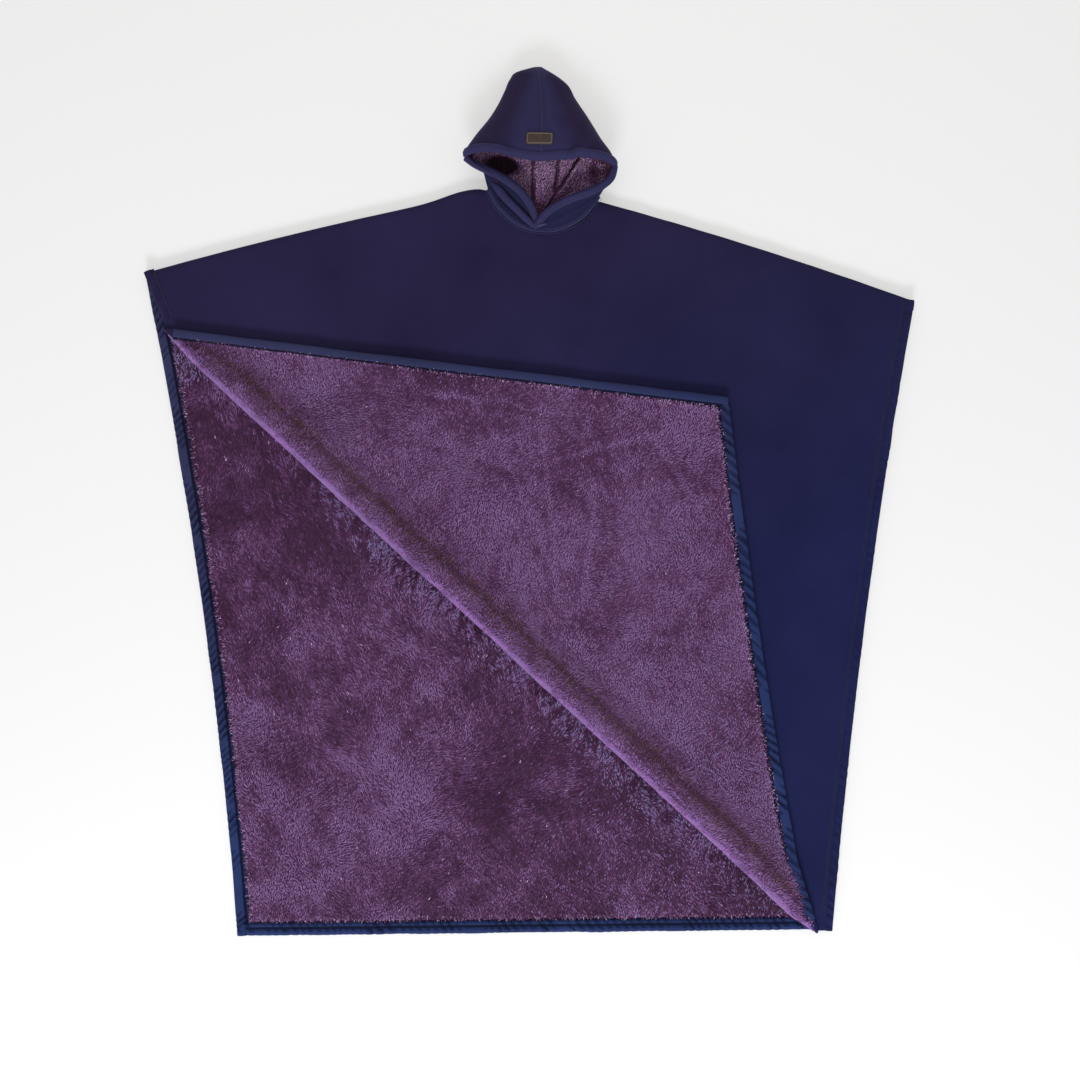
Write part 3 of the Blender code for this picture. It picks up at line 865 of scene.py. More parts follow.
def make_front(m, lines):
    """The front's shell, with its bend and corner as one cloth; gives the corner's edges and its height."""
    fold_line = np.stack([FOLD_AT[:2], FOLD_END])
    stub = np.stack([FOLD_END, lines["low"][-1]])
    low = pieced([fold_line, stub], (FOLD_STEPS, STUB_STEPS))
    high = top_line(lines, (66, 30, FOLD_STEPS + STUB_STEPS - 96))
    plan = coons(low, high, lines["left"], lines["right"], spread(1.3, 0.011))
    z = front_top(plan, lines, stub)
    cloth = Sheets()
    cloth.add(lifted(plan, z), lifted(plan, z - SHELL_THICK))

    loop = outline("flap_shell")
    upper, hem = corner_edges(loop, nearest(loop, FLAP_CORNER), FOLD_AT[:2], FOLD_END)
    columns = along(fold_line, np.linspace(0, 1, FOLD_STEPS + 1))
    plan, edge = corner_grid(columns, upper, hem, spread(0.75, 0.010))
    lift = 0.0006 * (1 + value_noise(plan[..., 0], plan[..., 1], 0.12, 15))
    under = np.maximum(FLAP_LOW + lift * rim(edge, 0.03), FLAP_LOW)
    below, above = z[: FOLD_STEPS + 1, 0], under[:, 0]
    cloth.add(bend(columns, below, above, 0), bend(columns, below, above, SHELL_THICK))
    cloth.add(lifted(plan, under)[:, ::-1], lifted(plan, under + SHELL_THICK)[:, ::-1])
    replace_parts(cloth.build("front_fleece", m["shell"]), "front_shell", "flap_shell")
    return upper, hem, under.mean() + SHELL_THICK + 0.0006


def make_front_lining(m, base):
    """The front's lining: one part under the panel and one on the turned-back corner, from base up."""
    lines = panel_lines("front_lining")
    start, end = FOLD_AT[:2] + ALONG * 0.030, FOLD_END - ALONG * 0.036
    columns = along(np.stack([start, end]), np.linspace(0, 1, FOLD_STEPS + 1))
    stub = along(np.stack([end, lines["right"][0]]), np.linspace(0, 1, 5))
    low = np.concatenate([columns, stub[1:]])
    high = top_line(lines, (62, 30, len(low) - 93))
    left = np.stack([start, lines["shoulder_left"][-1]])
    plan = coons(low, high, left, lines["right"], spread(1.3, 0.012))
    cloth = Sheets()
    cloth.add(lifted(plan, 0.0104 + 0.003), lifted(plan, 0.0104))

    loop = outline("flap_lining")
    upper, hem = corner_edges(loop, corner(loop, (1.0, 0.75)), start, end)
    plan, edge = corner_grid(columns, upper, hem, spread(0.70, 0.0072))
    top = base + 0.001 + (flap_height(plan[..., 0], plan[..., 1]) - base - 0.001) * rim(edge, 0.010)
    cloth.add(lifted(plan, base)[:, ::-1], lifted(plan, top)[:, ::-1])
    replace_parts(cloth.build("front_plush", m["plush"]), "front_lining", "flap_lining")
    return upper, hem, np.concatenate([columns, hem[1:], upper[::-1][1:-1]])


def make_panels(m):
    """The four panels' cloths, and the lines that the later pieces follow."""
    back, front = grown(panel_lines("back_shell")), grown(panel_lines("front_shell"))
    made = {"back": back, "front": front, "back_lining_loop": make_back(m, back)}
    made["upper"], made["hem"], base = make_front(m, front)
    made["upper_in"], made["hem_in"], made["flap_loop"] = make_front_lining(m, base)
    return made


def respaced(low, high, shares):
    """Both lines re-read at new shares of their points' order."""
    k = np.linspace(0, 1, len(low))
    return (np.stack([np.interp(shares, k, low[:, a]) for a in (0, 1)], -1),
            np.stack([np.interp(shares, k, high[:, a]) for a in (0, 1)], -1))


def scallops(plan, shoulder):
    """The soft dimples where the right shoulder's seam pulls."""
    x = plan[..., 0]
    wave = 0.5 + 0.5 * np.sin(x * 2 * np.pi / 0.085 + 1.5 * value_noise(x, x * 0, 0.2, 61))
    return 0.0016 * wave * np.exp(-((gap(plan, rounded(shoulder, 1)) - 0.012) / 0.016) ** 2)


# ---------------------------------------------------------------- bindings

def make_bindings(m, made):
    """The rolled bindings round the panels and round the turned-back corner."""
    back, front = made["back"], made["front"]
    stub = np.stack([FOLD_END, front["low"][-1]])
    bands = (
        # piece, edge, lowest and highest, the node it stands for, the creases' pitch and slant
        ("back_hem_roll", back["low"], 0.0002, 0.0135, "back_hem_binding", 0.017, 1.0),
        ("back_right_roll", back["right"], 0.0002, 0.0104, "back_right_binding", 0.014, -0.8),
        ("back_left_roll", back["left"][::-1], 0.0002, 0.0122, "back_left_binding", 0.015, 1.6),
        ("front_right_roll", front["right"], 0.0104, 0.0208, "front_right_binding", 0.022, -0.8),
        ("front_hem_roll", stub, 0.0104, 0.0175, "front_hem_binding", 0.012, 0.8),
        ("front_left_roll", front["left"][::-1], 0.0104, 0.0202, "front_left_binding", 0.060, 0.6),
    )
    # painted light on each binding: shade finishes in its creases and groove, highlight finishes on its crowns and
    # on the hem's outer lobe
    for k, (name, line, low, high, node, pitch, slant) in enumerate(bands):
        hem, own = name == "back_hem_roll", name.startswith("front")
        obj = band(name, line, BINDING * (0.8 if own else 1.0), low, high, m["shell" if own else "binding"],
                   pitch=pitch, slant=slant, seed=70 + 10 * k, depth=0.0035 if hem else 0.0055,
                   groove=0.58 if hem else 0.80, groove_wide=0.12 if hem else 0.06,
                   shades=(m["crease"], m["shell" if own else "crown_highlight"]),
                   look=(0.30, 0.58, 2.0) if hem else (0.0, 2.0 if own else 0.84, 2.0))
        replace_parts(obj, node)
    both = (m["crease"], m["crown_highlight"])
    hem = band("flap_hem_roll", trimmed(made["hem"], 0.03, 0.0), 0.0235, 0.0214, 0.0335, m["binding"],
               pitch=0.022, slant=-1.1, seed=141, shades=both, look=(0.0, 0.9, 0.93))
    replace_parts(hem, "flap_hem_binding")
    # the turned-back corner's upper edge wears the pale finish all over: a painted highlight where it faces the
    # light, with painted shade along its inner edge
    edge = band("flap_edge_roll", trimmed(made["upper"][::-1], 0.0, 0.02), 0.0205, 0.0214, 0.0345,
                m["crown_highlight"], pitch=0.16, slant=0.5, seed=151, depth=0.0008, shades=both,
                look=(0.0, 3.0, 0.80))
    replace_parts(edge, "flap_left_binding")


def make_seams(m, back, front):
    """The shoulder seams, and the rows of stitches beside the front's edges."""
    for side in ("left", "right"):
        line = along(trimmed(back["shoulder_" + side], 0.004, 0.004), np.linspace(0, 1, 200))
        line = lifted(offset(line, 0.0052), 0.0082)
        seam = sweep("shoulder_welt_" + side, line, oval(0.0104, 0.0120), m["shell"])
        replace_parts(seam, side + "_shoulder_seam")
    path = along(trimmed(front["right"], 0.03, 0.004), np.linspace(0, 1, 500))
    for k, far in enumerate((0.0205, 0.0245)):
        line = offset(path, far)
        z = np.minimum(front_height(line[:, 0], line[:, 1]), FRONT_TOP) + 0.0003
        row = stitches(f"side_stitching_{k}", lifted(line, z), m["thread_dark"], 0.0044, 0.0034, 0.0007)
        if k == 0:
            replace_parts(row, "front_right_topstitch")
    line = offset(along(trimmed(front["left"], 0.006, 0.006), np.linspace(0, 1, 60)), -0.0205)
    stitches("stub_stitching", lifted(line, 0.0203), m["thread_dark"], 0.0044, 0.0034, 0.0008)


# ---------------------------------------------------------------- the fold's roll

def make_roll(m):
    """The plump roll along the fold, a closed form lying over the bend, with a painted highlight along its ridge.
    """
    s = np.linspace(0.012, FOLD_LENGTH - 0.008, 260)
    rows = []
    wander = 0.0022 * value_noise(s, s * 0, 0.09, 55) + 0.0010 * value_noise(s, s * 0, 0.03, 56)
    wide = roll_wide(s)
    ends = 0.15 + 0.85 * roll_ends(s)
    for t in np.linspace(0, 1, 30) ** 1.5:
        u = -RIDGE_OUT + (wide + RIDGE_OUT) * t
        z = roll_height(s, u) - 0.0015 * (t > 0.97)
        rows.append((u * ends + wander * (1 - t), z))
    for t in (0.9, 0.6, 0.3, 0.1):
        rows.append(((-0.006 + (wide + 0.006) * t) * ends, np.minimum(0.0275, roll_height(s, 0 * s) - 0.003)))
    for angle in np.linspace(-0.5, 1, 8) * math.pi / 2:
        z = 0.0200 + 0.0085 * math.sin(angle)
        u = -0.006 - (RIDGE_OUT - 0.006) * (math.cos(angle) * 0.9 + 0.1)
        rows.append((u * (0.4 + 0.6 * ends) + wander * 0.9, z - 0.004 * (1 - ends)))
    grid = np.stack([lifted(on_fold(s, u), z) for u, z in rows], 1)
    obj = tube_sheet("fold_roll", grid[:, ::-1], m["plush_fold"])
    obj.data.materials.append(m["ridge"])
    centres = np.array([p.center for p in obj.data.polygons])
    _, across = fold_place(centres[:, 0], centres[:, 1])
    # painted highlight: the faces out along the ridge take the pale lilac ridge finish
    outer = (across < -0.0005) & (centres[:, 2] > 0.019)
    obj.data.polygons.foreach_set("material_index", outer.astype(int))
    return obj


# ---------------------------------------------------------------- pile over the plush

def plush_tone(x, y, seed):
    """Lighter and darker patches where the pile has been brushed different ways: painted sheen, as each way that
    the pile lies catches the light differently.
    """
    broad = 2.3 * cloudy(x, y, 0.17, seed, 3)
    patches = 1.7 * cloudy(x, y, 0.045, seed + 3, 2)
    streaks = 0.9 * value_noise(x + 0.3 * y, y * 0.5, 0.009, seed + 6)
    return broad + patches + streaks


CREASES = ((-0.25, 0.22, 0.10, 0.17), (-0.10, 0.19, 0.05, -0.15), (0.02, 0.17, 0.06, -0.25),
           (-0.02, 0.06, 0.30, 0.14), (0.13, 0.05, 0.10, -0.24),
           (0.22, 0.16, 0.36, -0.05), (-0.2, 0.12, 0.0, 0.05))


def creases(x, y):
    """Faint marks across the turned-back corner where it has been folded before, painted as a lighter ridge beside
    a darker dip: painted highlight and shade, with no fold in the cloth's shape.
    """
    total = 0 * x
    for ax, ay, bx, by in CREASES:
        d = np.array([bx - ax, by - ay])
        t = ((x - ax) * d[0] + (y - ay) * d[1]) / (d @ d)
        off = ((x - ax) * d[1] - (y - ay) * d[0]) / math.hypot(*d)
        off = off + 0.006 * value_noise(t, t * 0, 0.2, 301)
        ends = smooth(-0.05, 0.15, t) * smooth(1.05, 0.8, t)
        # painted highlight on each crease's ridge, painted shade in the dip beside it
        ridge, dip = np.exp(-(off / 0.006) ** 2), np.exp(-((off - 0.012) / 0.007) ** 2)
        total = total + 1.3 * ridge * ends - 0.8 * dip * ends
    return total


def sown(name, plan, z, lean, long, wide, tilt, shade, finishes):
    """Pile over plan points, with its tufts' lengths, widths and tilts drawn between those limits."""
    size = [rng.uniform(*limits, len(plan)) for limits in (long, wide, tilt)]
    return pile(name, np.column_stack([plan, z]), lean, *size, shade, finishes)


def cover(loop, spacing, first, last=9.0):
    """Plan points inside a loop whose distance across the fold lies between first and last."""
    p = scattered(loop.min(0), loop.max(0), spacing)
    _, u = fold_place(p[:, 0], p[:, 1])
    return p[(u > first) & (u < last) & inside(p, loop)]


def back_tufts(loop, shades):
    """The back's pile: patches, a ruffled band below the fold with painted highlights and shade, a paler band at
    the upper left, a bluish tint of light painted towards the lower right, and a few tufts painted as glints.
    """
    p = cover(loop, 0.0031, -9.0, -0.004)
    s, u = fold_place(p[:, 0], p[:, 1])
    x, y = p[:, 0], p[:, 1]
    near = smooth(-0.085, -0.035, u + 0.02 * value_noise(s, s * 0, 0.07, 88)) * smooth(0.22, 0.60, s)
    near = near * smooth(FOLD_LENGTH - 0.02, FOLD_LENGTH - 0.2, s)
    lean = nap(x, y, 1.35, 1.1, 81)
    tone = 1.60 + plush_tone(x, y, 83) + rng.normal(0, 0.95, len(x))
    tone = tone + 0.5 * smooth(0.3, -0.6, x) * smooth(0.1, -0.4, y)
    tone = tone - 0.7 * smooth(0.05, 0.30, y) - 0.75 * smooth(-0.2, 0.1, x) * smooth(-0.2, -0.6, y)
    tone = tone + 1.0 * np.exp(-((x + 0.30) / 0.20) ** 2 - ((y + 0.64) / 0.12) ** 2)
    tone = tone + 0.9 * np.exp(-((x + 0.46) / 0.10) ** 2 - ((y + 0.42) / 0.10) ** 2)
    shade = np.clip(np.round(tone), 0, 4)
    streaks = 0.7 * value_noise(s + 0.6 * u, u * 0.4, 0.011, 86)
    streaks = streaks + 0.8 * value_noise(s + 0.5 * u, u * 0.6, 0.0055, 87)
    # the pile is ruffled near the fold; there its lighter and blue-lilac tufts are painted highlights and its
    # darkest tufts painted shade
    chance = near * smooth(-0.35, 0.55, streaks + rng.normal(0, 0.25, len(x)))
    shade = np.where(chance > 0.3, np.minimum(shade + 1, 4), shade)
    shade = np.where(rng.rand(len(x)) < 0.7 * chance, BLUE_TUFT, shade)
    shade = np.where((near > 0.3) & (streaks < -0.55), 0, shade)
    paler_upper_left = smooth(0.235, 0.252, y + 0.012 * value_noise(x, y, 0.04, 89))
    paler_upper_left = paler_upper_left * smooth(-0.52, -0.60, x - 0.3 * (y - 0.3))
    # painted light colour: bluer tufts towards the lower right, where the light is bluish
    bluer = smooth(-0.1, 0.35, x) * smooth(-0.25, -0.6, y)
    for likely in (0.55 * paler_upper_left, 0.10 * bluer):
        shade = np.where(rng.rand(len(x)) < likely, BLUE_TUFT, shade)
    # painted glints: a few pink-white tufts
    shade = np.where(rng.rand(len(x)) < 0.0012, GLINT_TUFT, shade)
    sown("back_pile", p, back_height(x, y) - 0.0006, lean, (0.007, 0.0105), (0.0022, 0.0036), (0.95, 1.22),
         shade, shades)


def corner_tufts(loop, shades):
    """The turned-back corner's pile, with painted crease marks, a bluish tint of light painted towards the lower
    right, and a few tufts painted as glints.
    """
    p = cover(loop, 0.0030, 0.03)
    x, y = p[:, 0], p[:, 1]
    lean = nap(x, y, 1.2, 1.2, 91)
    tone = 2.85 + plush_tone(x, y, 93) + rng.normal(0, 1.0, len(x))
    tone = tone + 0.6 * smooth(0.1, 0.38, x) + creases(x, y)
    tone = tone + 0.8 * smooth(-0.1, 0.1, x) * smooth(0.0, 0.15, y) + 1.4 * smooth(-0.42, -0.62, y)
    shade = np.clip(np.round(tone), 0, 4)
    bluer = smooth(-0.1, 0.35, x) * smooth(-0.2, -0.6, y)
    # painted light colour: bluer tufts towards the lower right, where the light is bluish, and a few among the
    # lightest tufts
    shade = np.where(rng.rand(len(x)) < 0.015 + 0.03 * (tone > 3.2) + 0.20 * bluer, BLUE_TUFT, shade)
    # painted glints: a few pink-white tufts
    shade = np.where(rng.rand(len(x)) < 0.0012, GLINT_TUFT, shade)
    sown("corner_pile", p, flap_height(x, y) - 0.0008, lean, (0.006, 0.0085), (0.0022, 0.0034), (0.98, 1.22),
         shade, shades)


def roll_tufts(shades):
    """The pile on the fold's roll: lilac along its ridge, a painted highlight where the pile is seen edge-on, and
    browner down its far side, painted shade on the slope away from the light, with the pile lying the other way
    there.
    """
    p = scattered((0.02, -RIDGE_OUT + 0.0005), (FOLD_LENGTH - 0.012, ROLL_WIDTH + 0.012), 0.0027)
    s, u = p[:, 0], p[:, 1]
    ends = 0.15 + 0.85 * roll_ends(s)
    keep = (u < roll_wide(s) * ends) & (u > -RIDGE_OUT * ends)
    fuzz = rng.uniform(0.03, FOLD_LENGTH - 0.02, 9000)
    more = -RIDGE_OUT * (0.15 + 0.85 * roll_ends(fuzz)) + rng.uniform(0.0, 0.009, len(fuzz))
    s, u = np.concatenate([s[keep], fuzz]), np.concatenate([u[keep], more])
    angle = math.atan2(ACROSS[1], ACROSS[0]) + 1.2 * value_noise(s, u, 0.03, 101)
    angle = angle + rng.uniform(-0.5, 0.5, len(s))
    lean = np.stack([np.cos(angle), np.sin(angle)], -1)
    from_edge = u + RIDGE_OUT
    t = from_edge / (roll_wide(s) + RIDGE_OUT)
    tone = 3.0 + 1.1 * value_noise(s, u, 0.03, 103) + 0.7 * value_noise(s, u, 0.010, 104)
    shade = np.clip(np.round(tone + rng.normal(0, 0.9, len(s))), 0, 4)
    highlight_wide = 0.017 + 0.006 * smooth(0.6, 1.6, s) + 0.003 * value_noise(s, s * 0, 0.05, 105)
    # painted shade: browner tufts down the far slope, which faces away from the light
    brown = np.exp(-((t - 0.56 - 0.03 * value_noise(s, s * 0, 0.1, 106)) / 0.15) ** 2)
    shade = np.where(rng.rand(len(s)) < 0.55 * brown * roll_span(s), BROWN_SHADE_TUFT, shade)
    # painted highlight: lilac tufts along the ridge
    shade = np.where((from_edge < highlight_wide) & (rng.rand(len(s)) < 0.75 - 18 * from_edge), LILAC_HIGHLIGHT_TUFT, shade)
    return sown("roll_pile", on_fold(s, u), roll_height(s, u) - 0.0006, lean, (0.006, 0.009), (0.002, 0.0032),
                (0.75, 1.15), shade, shades)


def ragged_line(line, height, reach):
    """Where short tufts stand along one edge of the plush, and which way they lean."""
    total = lengths(line)[-1]
    count = int(total / 0.0008)
    q = np.sort(rng.uniform(0, 1, count))
    p = along(line, q)
    d = np.gradient(p, axis=0)
    d /= np.linalg.norm(d, axis=1)[:, None] + 1e-12
    out = np.stack([d[:, 1], -d[:, 0]], -1)
    p = p + out * (reach - rng.uniform(0.0, 0.010, count))[:, None]
    p = p + out * (0.0022 * value_noise(q * total, q * 0, 0.012, 111))[:, None]
    angle = rng.uniform(-1.0, 1.0, count)
    lean = out * np.cos(angle)[:, None] + d * np.sin(angle)[:, None]
    return p, lean, np.full(count, height)


def edge_tufts(loop, made, shades):
    """The ragged edges of the pile over the bindings, of the back and of the turned-back corner."""
    hem_left, hem_right = corner(loop, (-0.6, -1.0)), corner(loop, (0.6, -1.0))
    tip_left = corner(loop, (-1.0, 0.35))
    edges = [ragged_line(run(loop, tip_left, hem_left), 0.0095, 0.0),
             ragged_line(run(loop, hem_left, hem_right), 0.0095, 0.0),
             ragged_line(made["upper_in"][::-1], 0.0300, 0.006),
             ragged_line(made["hem_in"], 0.0300, 0.006)]
    split = len(edges[0][0]) + len(edges[1][0])
    p, lean, z = (np.concatenate(parts) for parts in zip(*edges))
    n = len(p)
    # painted glints: pink-white tufts along the pile's ragged edges
    shade = np.where(rng.rand(n) < 0.22, GLINT_TUFT, rng.randint(0, 5, n))
    size = [rng.uniform(*limits, n) for limits in ((0.003, 0.0065), (0.0014, 0.0026), (0.4, 1.3))]
    base = np.column_stack([p, z])
    for name, part in (("back_pile_edge", slice(0, split)), ("corner_pile_edge", slice(split, n))):
        pile(name, base[part], lean[part], *(each[part] for each in size), shade[part], shades)


def make_pile(m, made):
    """All the pile on the panels; the order matters, because every tuft draws from the same stream."""
    shades = [m[key] for key in ("tuft0", "tuft1", "tuft2", "tuft3", "tuft4", "tuft_brown_shade", "tuft_lilac_highlight",
                                 "tuft_blue", "tuft_glint")]
    loop = made["back_lining_loop"]
    back_tufts(loop, shades)
    corner_tufts(made["flap_loop"], shades)
    roll = roll_tufts(shades)
    edge_tufts(loop, made, shades)
    return roll


# ---------------------------------------------------------------- the hood

HOOD_X, HOOD_Y, HOOD_LONG = 0.022, 0.612, 0.259
BRIM_BAND = 0.0140
# half widths to each side and the height, from the neck at 0 to the peak at 1
WIDE_LEFT = ((-0.27, 0.015), (-0.2, 0.05), (-0.1, 0.075), (0.0, 0.087), (0.07, 0.090), (0.158, 0.108),
             (0.212, 0.136), (0.27, 0.148), (0.32, 0.146), (0.398, 0.134), (0.568, 0.1015), (0.645, 0.0896),
             (0.80, 0.071), (0.90, 0.060), (0.965, 0.046), (1.0, 0.020))
WIDE_RIGHT = ((-0.27, 0.015), (-0.2, 0.05), (-0.1, 0.08), (0.0, 0.108), (0.081, 0.134), (0.15, 0.1475),
              (0.212, 0.149), (0.29, 0.141), (0.39, 0.1234), (0.591, 0.0935), (0.745, 0.0697),
              (0.849, 0.0557), (0.934, 0.030), (1.0, 0.006))
TALL = ((-0.27, 0.040), (0.0, 0.050), (0.22, 0.094), (0.42, 0.086), (0.75, 0.054), (0.94, 0.036),
        (1.0, 0.022))
# where the face edge is, from one side of the hood to the other
BRIM = ((-1.0, 0.683), (-0.75, 0.682), (-0.37, 0.6675), (0.03, 0.6605), (0.27, 0.6635), (0.55, 0.668),
        (0.8, 0.668), (1.0, 0.663))
SQUARE = 0.8
TIP_TURN = 0.53 * math.pi
SEAM_X = ((0.15, 0.0235), (0.5, 0.0265), (0.8, 0.022), (1.0, 0.018))


def hood_wide(side, v):
    """The hood's half width on one side, from the neck to the peak."""
    return np.where(np.asarray(side) < 0, through(WIDE_LEFT, v), through(WIDE_RIGHT, v))


def hood_surface(phi, v, inset=0.0):
    """The hood's surface: phi turns from the top round either side to underneath; v runs from neck to peak."""
    turn = np.abs(phi)
    wide = hood_wide(phi, v) - inset
    tall = through(TALL, v) - 2 * inset
    q = np.sign(phi) * np.abs(np.sin(turn)) ** SQUARE
    x = HOOD_X + q * wide
    y = HOOD_Y + HOOD_LONG * v - inset * smooth(0.7, 1.0, v)
    top = np.clip(np.cos(turn), 0, 1)
    folds = 0.0060 * np.exp(-((x - 0.105 - (y - 0.69) * 0.5) / 0.010) ** 2) * smooth(0.80, 0.70, y)
    folds -= 0.0055 * np.exp(-((x - 0.085 - (y - 0.69) * 0.3) / 0.012) ** 2) * smooth(0.78, 0.68, y)
    folds += 0.0050 * np.exp(-((x + 0.060 + (y - 0.69) * 0.5) / 0.012) ** 2) * smooth(0.80, 0.69, y)
    folds += 0.0026 * cloudy(x, y, 0.07, 201)
    z = inset + tall * (1 + np.cos(turn)) / 2 + folds * top
    return np.stack([x, y, z], -1)


def hood_normal(phi, v, inset=0.0):
    """The way that the hood faces."""
    e = 0.004
    a = hood_surface(phi + e, v, inset) - hood_surface(phi - e, v, inset)
    ahead, behind = np.clip(v + e, -0.27, 1), np.clip(v - e, -0.27, 1)
    b = hood_surface(phi, ahead, inset) - hood_surface(phi, behind, inset)
    n = np.cross(a, b)
    n /= np.linalg.norm(n, axis=-1)[..., None] + 1e-12
    return n


def brim_at(phi):
    """Where the face edge is, as a share of the way from neck to peak."""
    q = np.sign(phi) * np.abs(np.sin(np.abs(phi))) ** SQUARE
    return (through(BRIM, q) - HOOD_Y) / HOOD_LONG


def shelled(name, grid, thickness, finish):
    """A cloth of that thickness under a grid of points."""
    obj = mesh_object(name, grid.reshape(-1, 3), quads(*grid.shape[:2]).tolist(), finish)
    thick = obj.modifiers.new("thickness", "SOLIDIFY")
    thick.thickness, thick.offset = thickness, -1.0
    shape = obj.evaluated_get(bpy.context.evaluated_depsgraph_get())
    solid = bpy.data.meshes.new_from_object(shape)
    obj.modifiers.clear()
    obj.data = solid
    return obj


def make_crown(m):
    """The hood's crown and its lining, its underside, and the plush of its back down into the neck."""
    phi = np.linspace(-TIP_TURN, TIP_TURN, 71)
    t = np.linspace(0, 1, 46) ** 0.9
    start = brim_at(phi)
    grid = np.stack([hood_surface(phi, start + (1 - start) * k) for k in t], 1)
    crown = shelled("hood_crown", grid, 0.0038, m["hood"])
    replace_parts(crown, "hood_shell_left", "hood_shell_right")
    turn = np.concatenate([np.linspace(0.52, 1.0, 22), np.linspace(1.0, 1.48, 22)[1:]]) * math.pi
    phi_under = np.where(turn <= math.pi, turn, turn - 2 * math.pi)
    phi_under = np.where(np.abs(np.abs(phi_under) - math.pi) < 1e-6, math.pi, phi_under)
    rows = [hood_surface(phi_under, np.full(len(turn), v), 0.0008) for v in np.linspace(0.0, 1.0, 40)]
    under = np.stack(rows, 1)
    under[..., 2] = np.maximum(under[..., 2], 0.0006)
    below = shelled("hood_underside", under, 0.0036, m["hood"])
    grid = np.stack([hood_surface(phi, start + 0.02 + (0.94 - start) * k, 0.0062) for k in t[::2]], 1)
    inner = shelled("hood_crown_plush", grid, 0.0035, m["plush_hood"])
    back = hood_back(*np.meshgrid(np.linspace(-1, 1, 91), np.linspace(-0.255, 0.93, 84), indexing="ij"))
    wall = slab("hood_back_plush", back, back - np.array([0, 0, 0.004]), m["plush_hood"])
    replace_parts(wall, "hood_lining_left", "hood_lining_right")
    return [crown, inner], [below, wall]


def make_brim(m):
    """The turned band round the face, and its row of stitches."""
    cols = np.linspace(-TIP_TURN, TIP_TURN, 150)
    start = brim_at(cols)
    ring = []
    crinkle = 0.0006 * value_noise(cols * 0.15, cols * 0, 0.012, 211)
    for inward, out in ((BRIM_BAND, 0.0002), (BRIM_BAND - 0.0012, 0.0022), (0.0095, 0.0042), (0.0050, 0.0050),
                        (0.0010, 0.0040), (-0.0022, 0.0008), (-0.0030, -0.0030), (-0.0010, -0.0062),
                        (0.004, -0.0088), (0.010, -0.0082), (0.014, -0.0050)):
        p = hood_surface(cols, start + inward / HOOD_LONG)
        n = hood_normal(cols, start + max(inward, 0) / HOOD_LONG)
        ring.append(p + n * (out + crinkle * (out > 0))[..., None])
    brim = tube_sheet("hood_brim_roll", np.stack(ring, 1)[:, ::-1], m["hood_edge"])
    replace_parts(brim, "hood_brim_band")
    path = hood_surface(cols, start + (BRIM_BAND - 0.0035) / HOOD_LONG)
    path = path + hood_normal(cols, start + BRIM_BAND / HOOD_LONG) * 0.0026
    return [brim, stitches("brim_stitching", path[6:-6], m["thread_dark"], 0.0040, 0.0034, 0.0009)]


def make_centre_seam(m):
    """The welt down the middle of the hood, between two rows of stitches."""
    v = np.linspace(0.985, (0.6557 - HOOD_Y + BRIM_BAND) / HOOD_LONG, 60)
    x, y = through(SEAM_X, v), HOOD_Y + HOOD_LONG * v
    seam = sweep("hood_centre_welt", on_crown(x, y, 0.0004), oval(0.0062, 0.0026), m["hood_edge"])
    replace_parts(seam, "hood_centre_seam")
    return [seam] + [stitches("centre_stitching_" + side, on_crown(x + off, y, 0.0006), m["thread_dark"],
                              0.0036, 0.0030, 0.0008)
                     for side, off in (("left", -0.0036), ("right", 0.0036))]


def make_hood(m):
    """The hood's pieces, by the body or the two bodies that they ride on."""
    on_hood, on_both = make_crown(m)
    on_hood += make_brim(m) + make_centre_seam(m) + make_label(m)
    collar, neck = make_collar(m)
    return {"hood": on_hood, "blanket": neck, "both": on_both + collar + [hood_pile(m)]}


def oval(width, height, steps=12):
    """A flat oval section, the same all along a path, resting on it."""
    phi = np.linspace(0, 2 * np.pi, steps + 1)[:-1]

    def ring(s):
        side = -np.cos(phi)[None, :] * width / 2 + 0 * s[:, None]
        up = np.sin(phi)[None, :] * height / 2 + 0 * s[:, None]
        return side, up

    return ring


def on_crown(x, y, lift=0.0):
    """Points of the hood's upper surface over plan points, lifted off it by that much."""
    x, y = np.broadcast_arrays(np.asarray(x, float), np.asarray(y, float))
    v = (y - HOOD_Y) / HOOD_LONG
    q = np.clip(np.abs(x - HOOD_X) / hood_wide(x - HOOD_X, v), 0, 0.995)
    phi = np.arcsin(q ** (1 / SQUARE)) * np.where(x < HOOD_X, -1, 1)
    return np.stack([x, y, hood_surface(phi, v)[..., 2] + lift], -1)


LABEL_AT, LABEL_SIZE = (0.0212, 0.7005), (0.0515, 0.0250)
# each pleat's x at its top, its x low down, and its depth
PLEATS = ((0.0103, 0.0103, 0.0045), (0.060, 0.050, 0.0045), (0.0950, 0.034, 0.006))


def pleats(y):
    """Where each pleat of the hood's back stands at y, and how deep it is."""
    share = np.clip((y - 0.584) / (0.677 - 0.584), 0, 1.4)
    return [(x_low + (x_top - x_low) * share, depth) for x_top, x_low, depth in PLEATS]


def hood_back(q, v):
    """The plush back of the hood, seen through its mouth: pleated, and rising at the sides."""
    wide = hood_wide(q, v) - 0.0065
    x = HOOD_X + q * wide
    y = HOOD_Y + HOOD_LONG * v
    tall = through(TALL, v) - 0.012
    rise = tall / 2 * (1 - np.sqrt(np.clip(1 - np.abs(q) ** 2.5, 0, 1)))
    z = 0.0110 + rise * smooth(-0.12, 0.12, v) + 0.0016 * cloudy(x, y, 0.03, 221)
    reach = smooth(0.555, 0.60, y) * smooth(0.76, 0.67, y)
    for at, depth in pleats(y):
        z = z + depth * 1.6 * np.exp(-((x - at - 0.004) / 0.0065) ** 2) * reach
        z = z - depth * 0.9 * np.exp(-((x - at + 0.005) / 0.0035) ** 2) * reach
    return np.stack([x, y, z], -1)


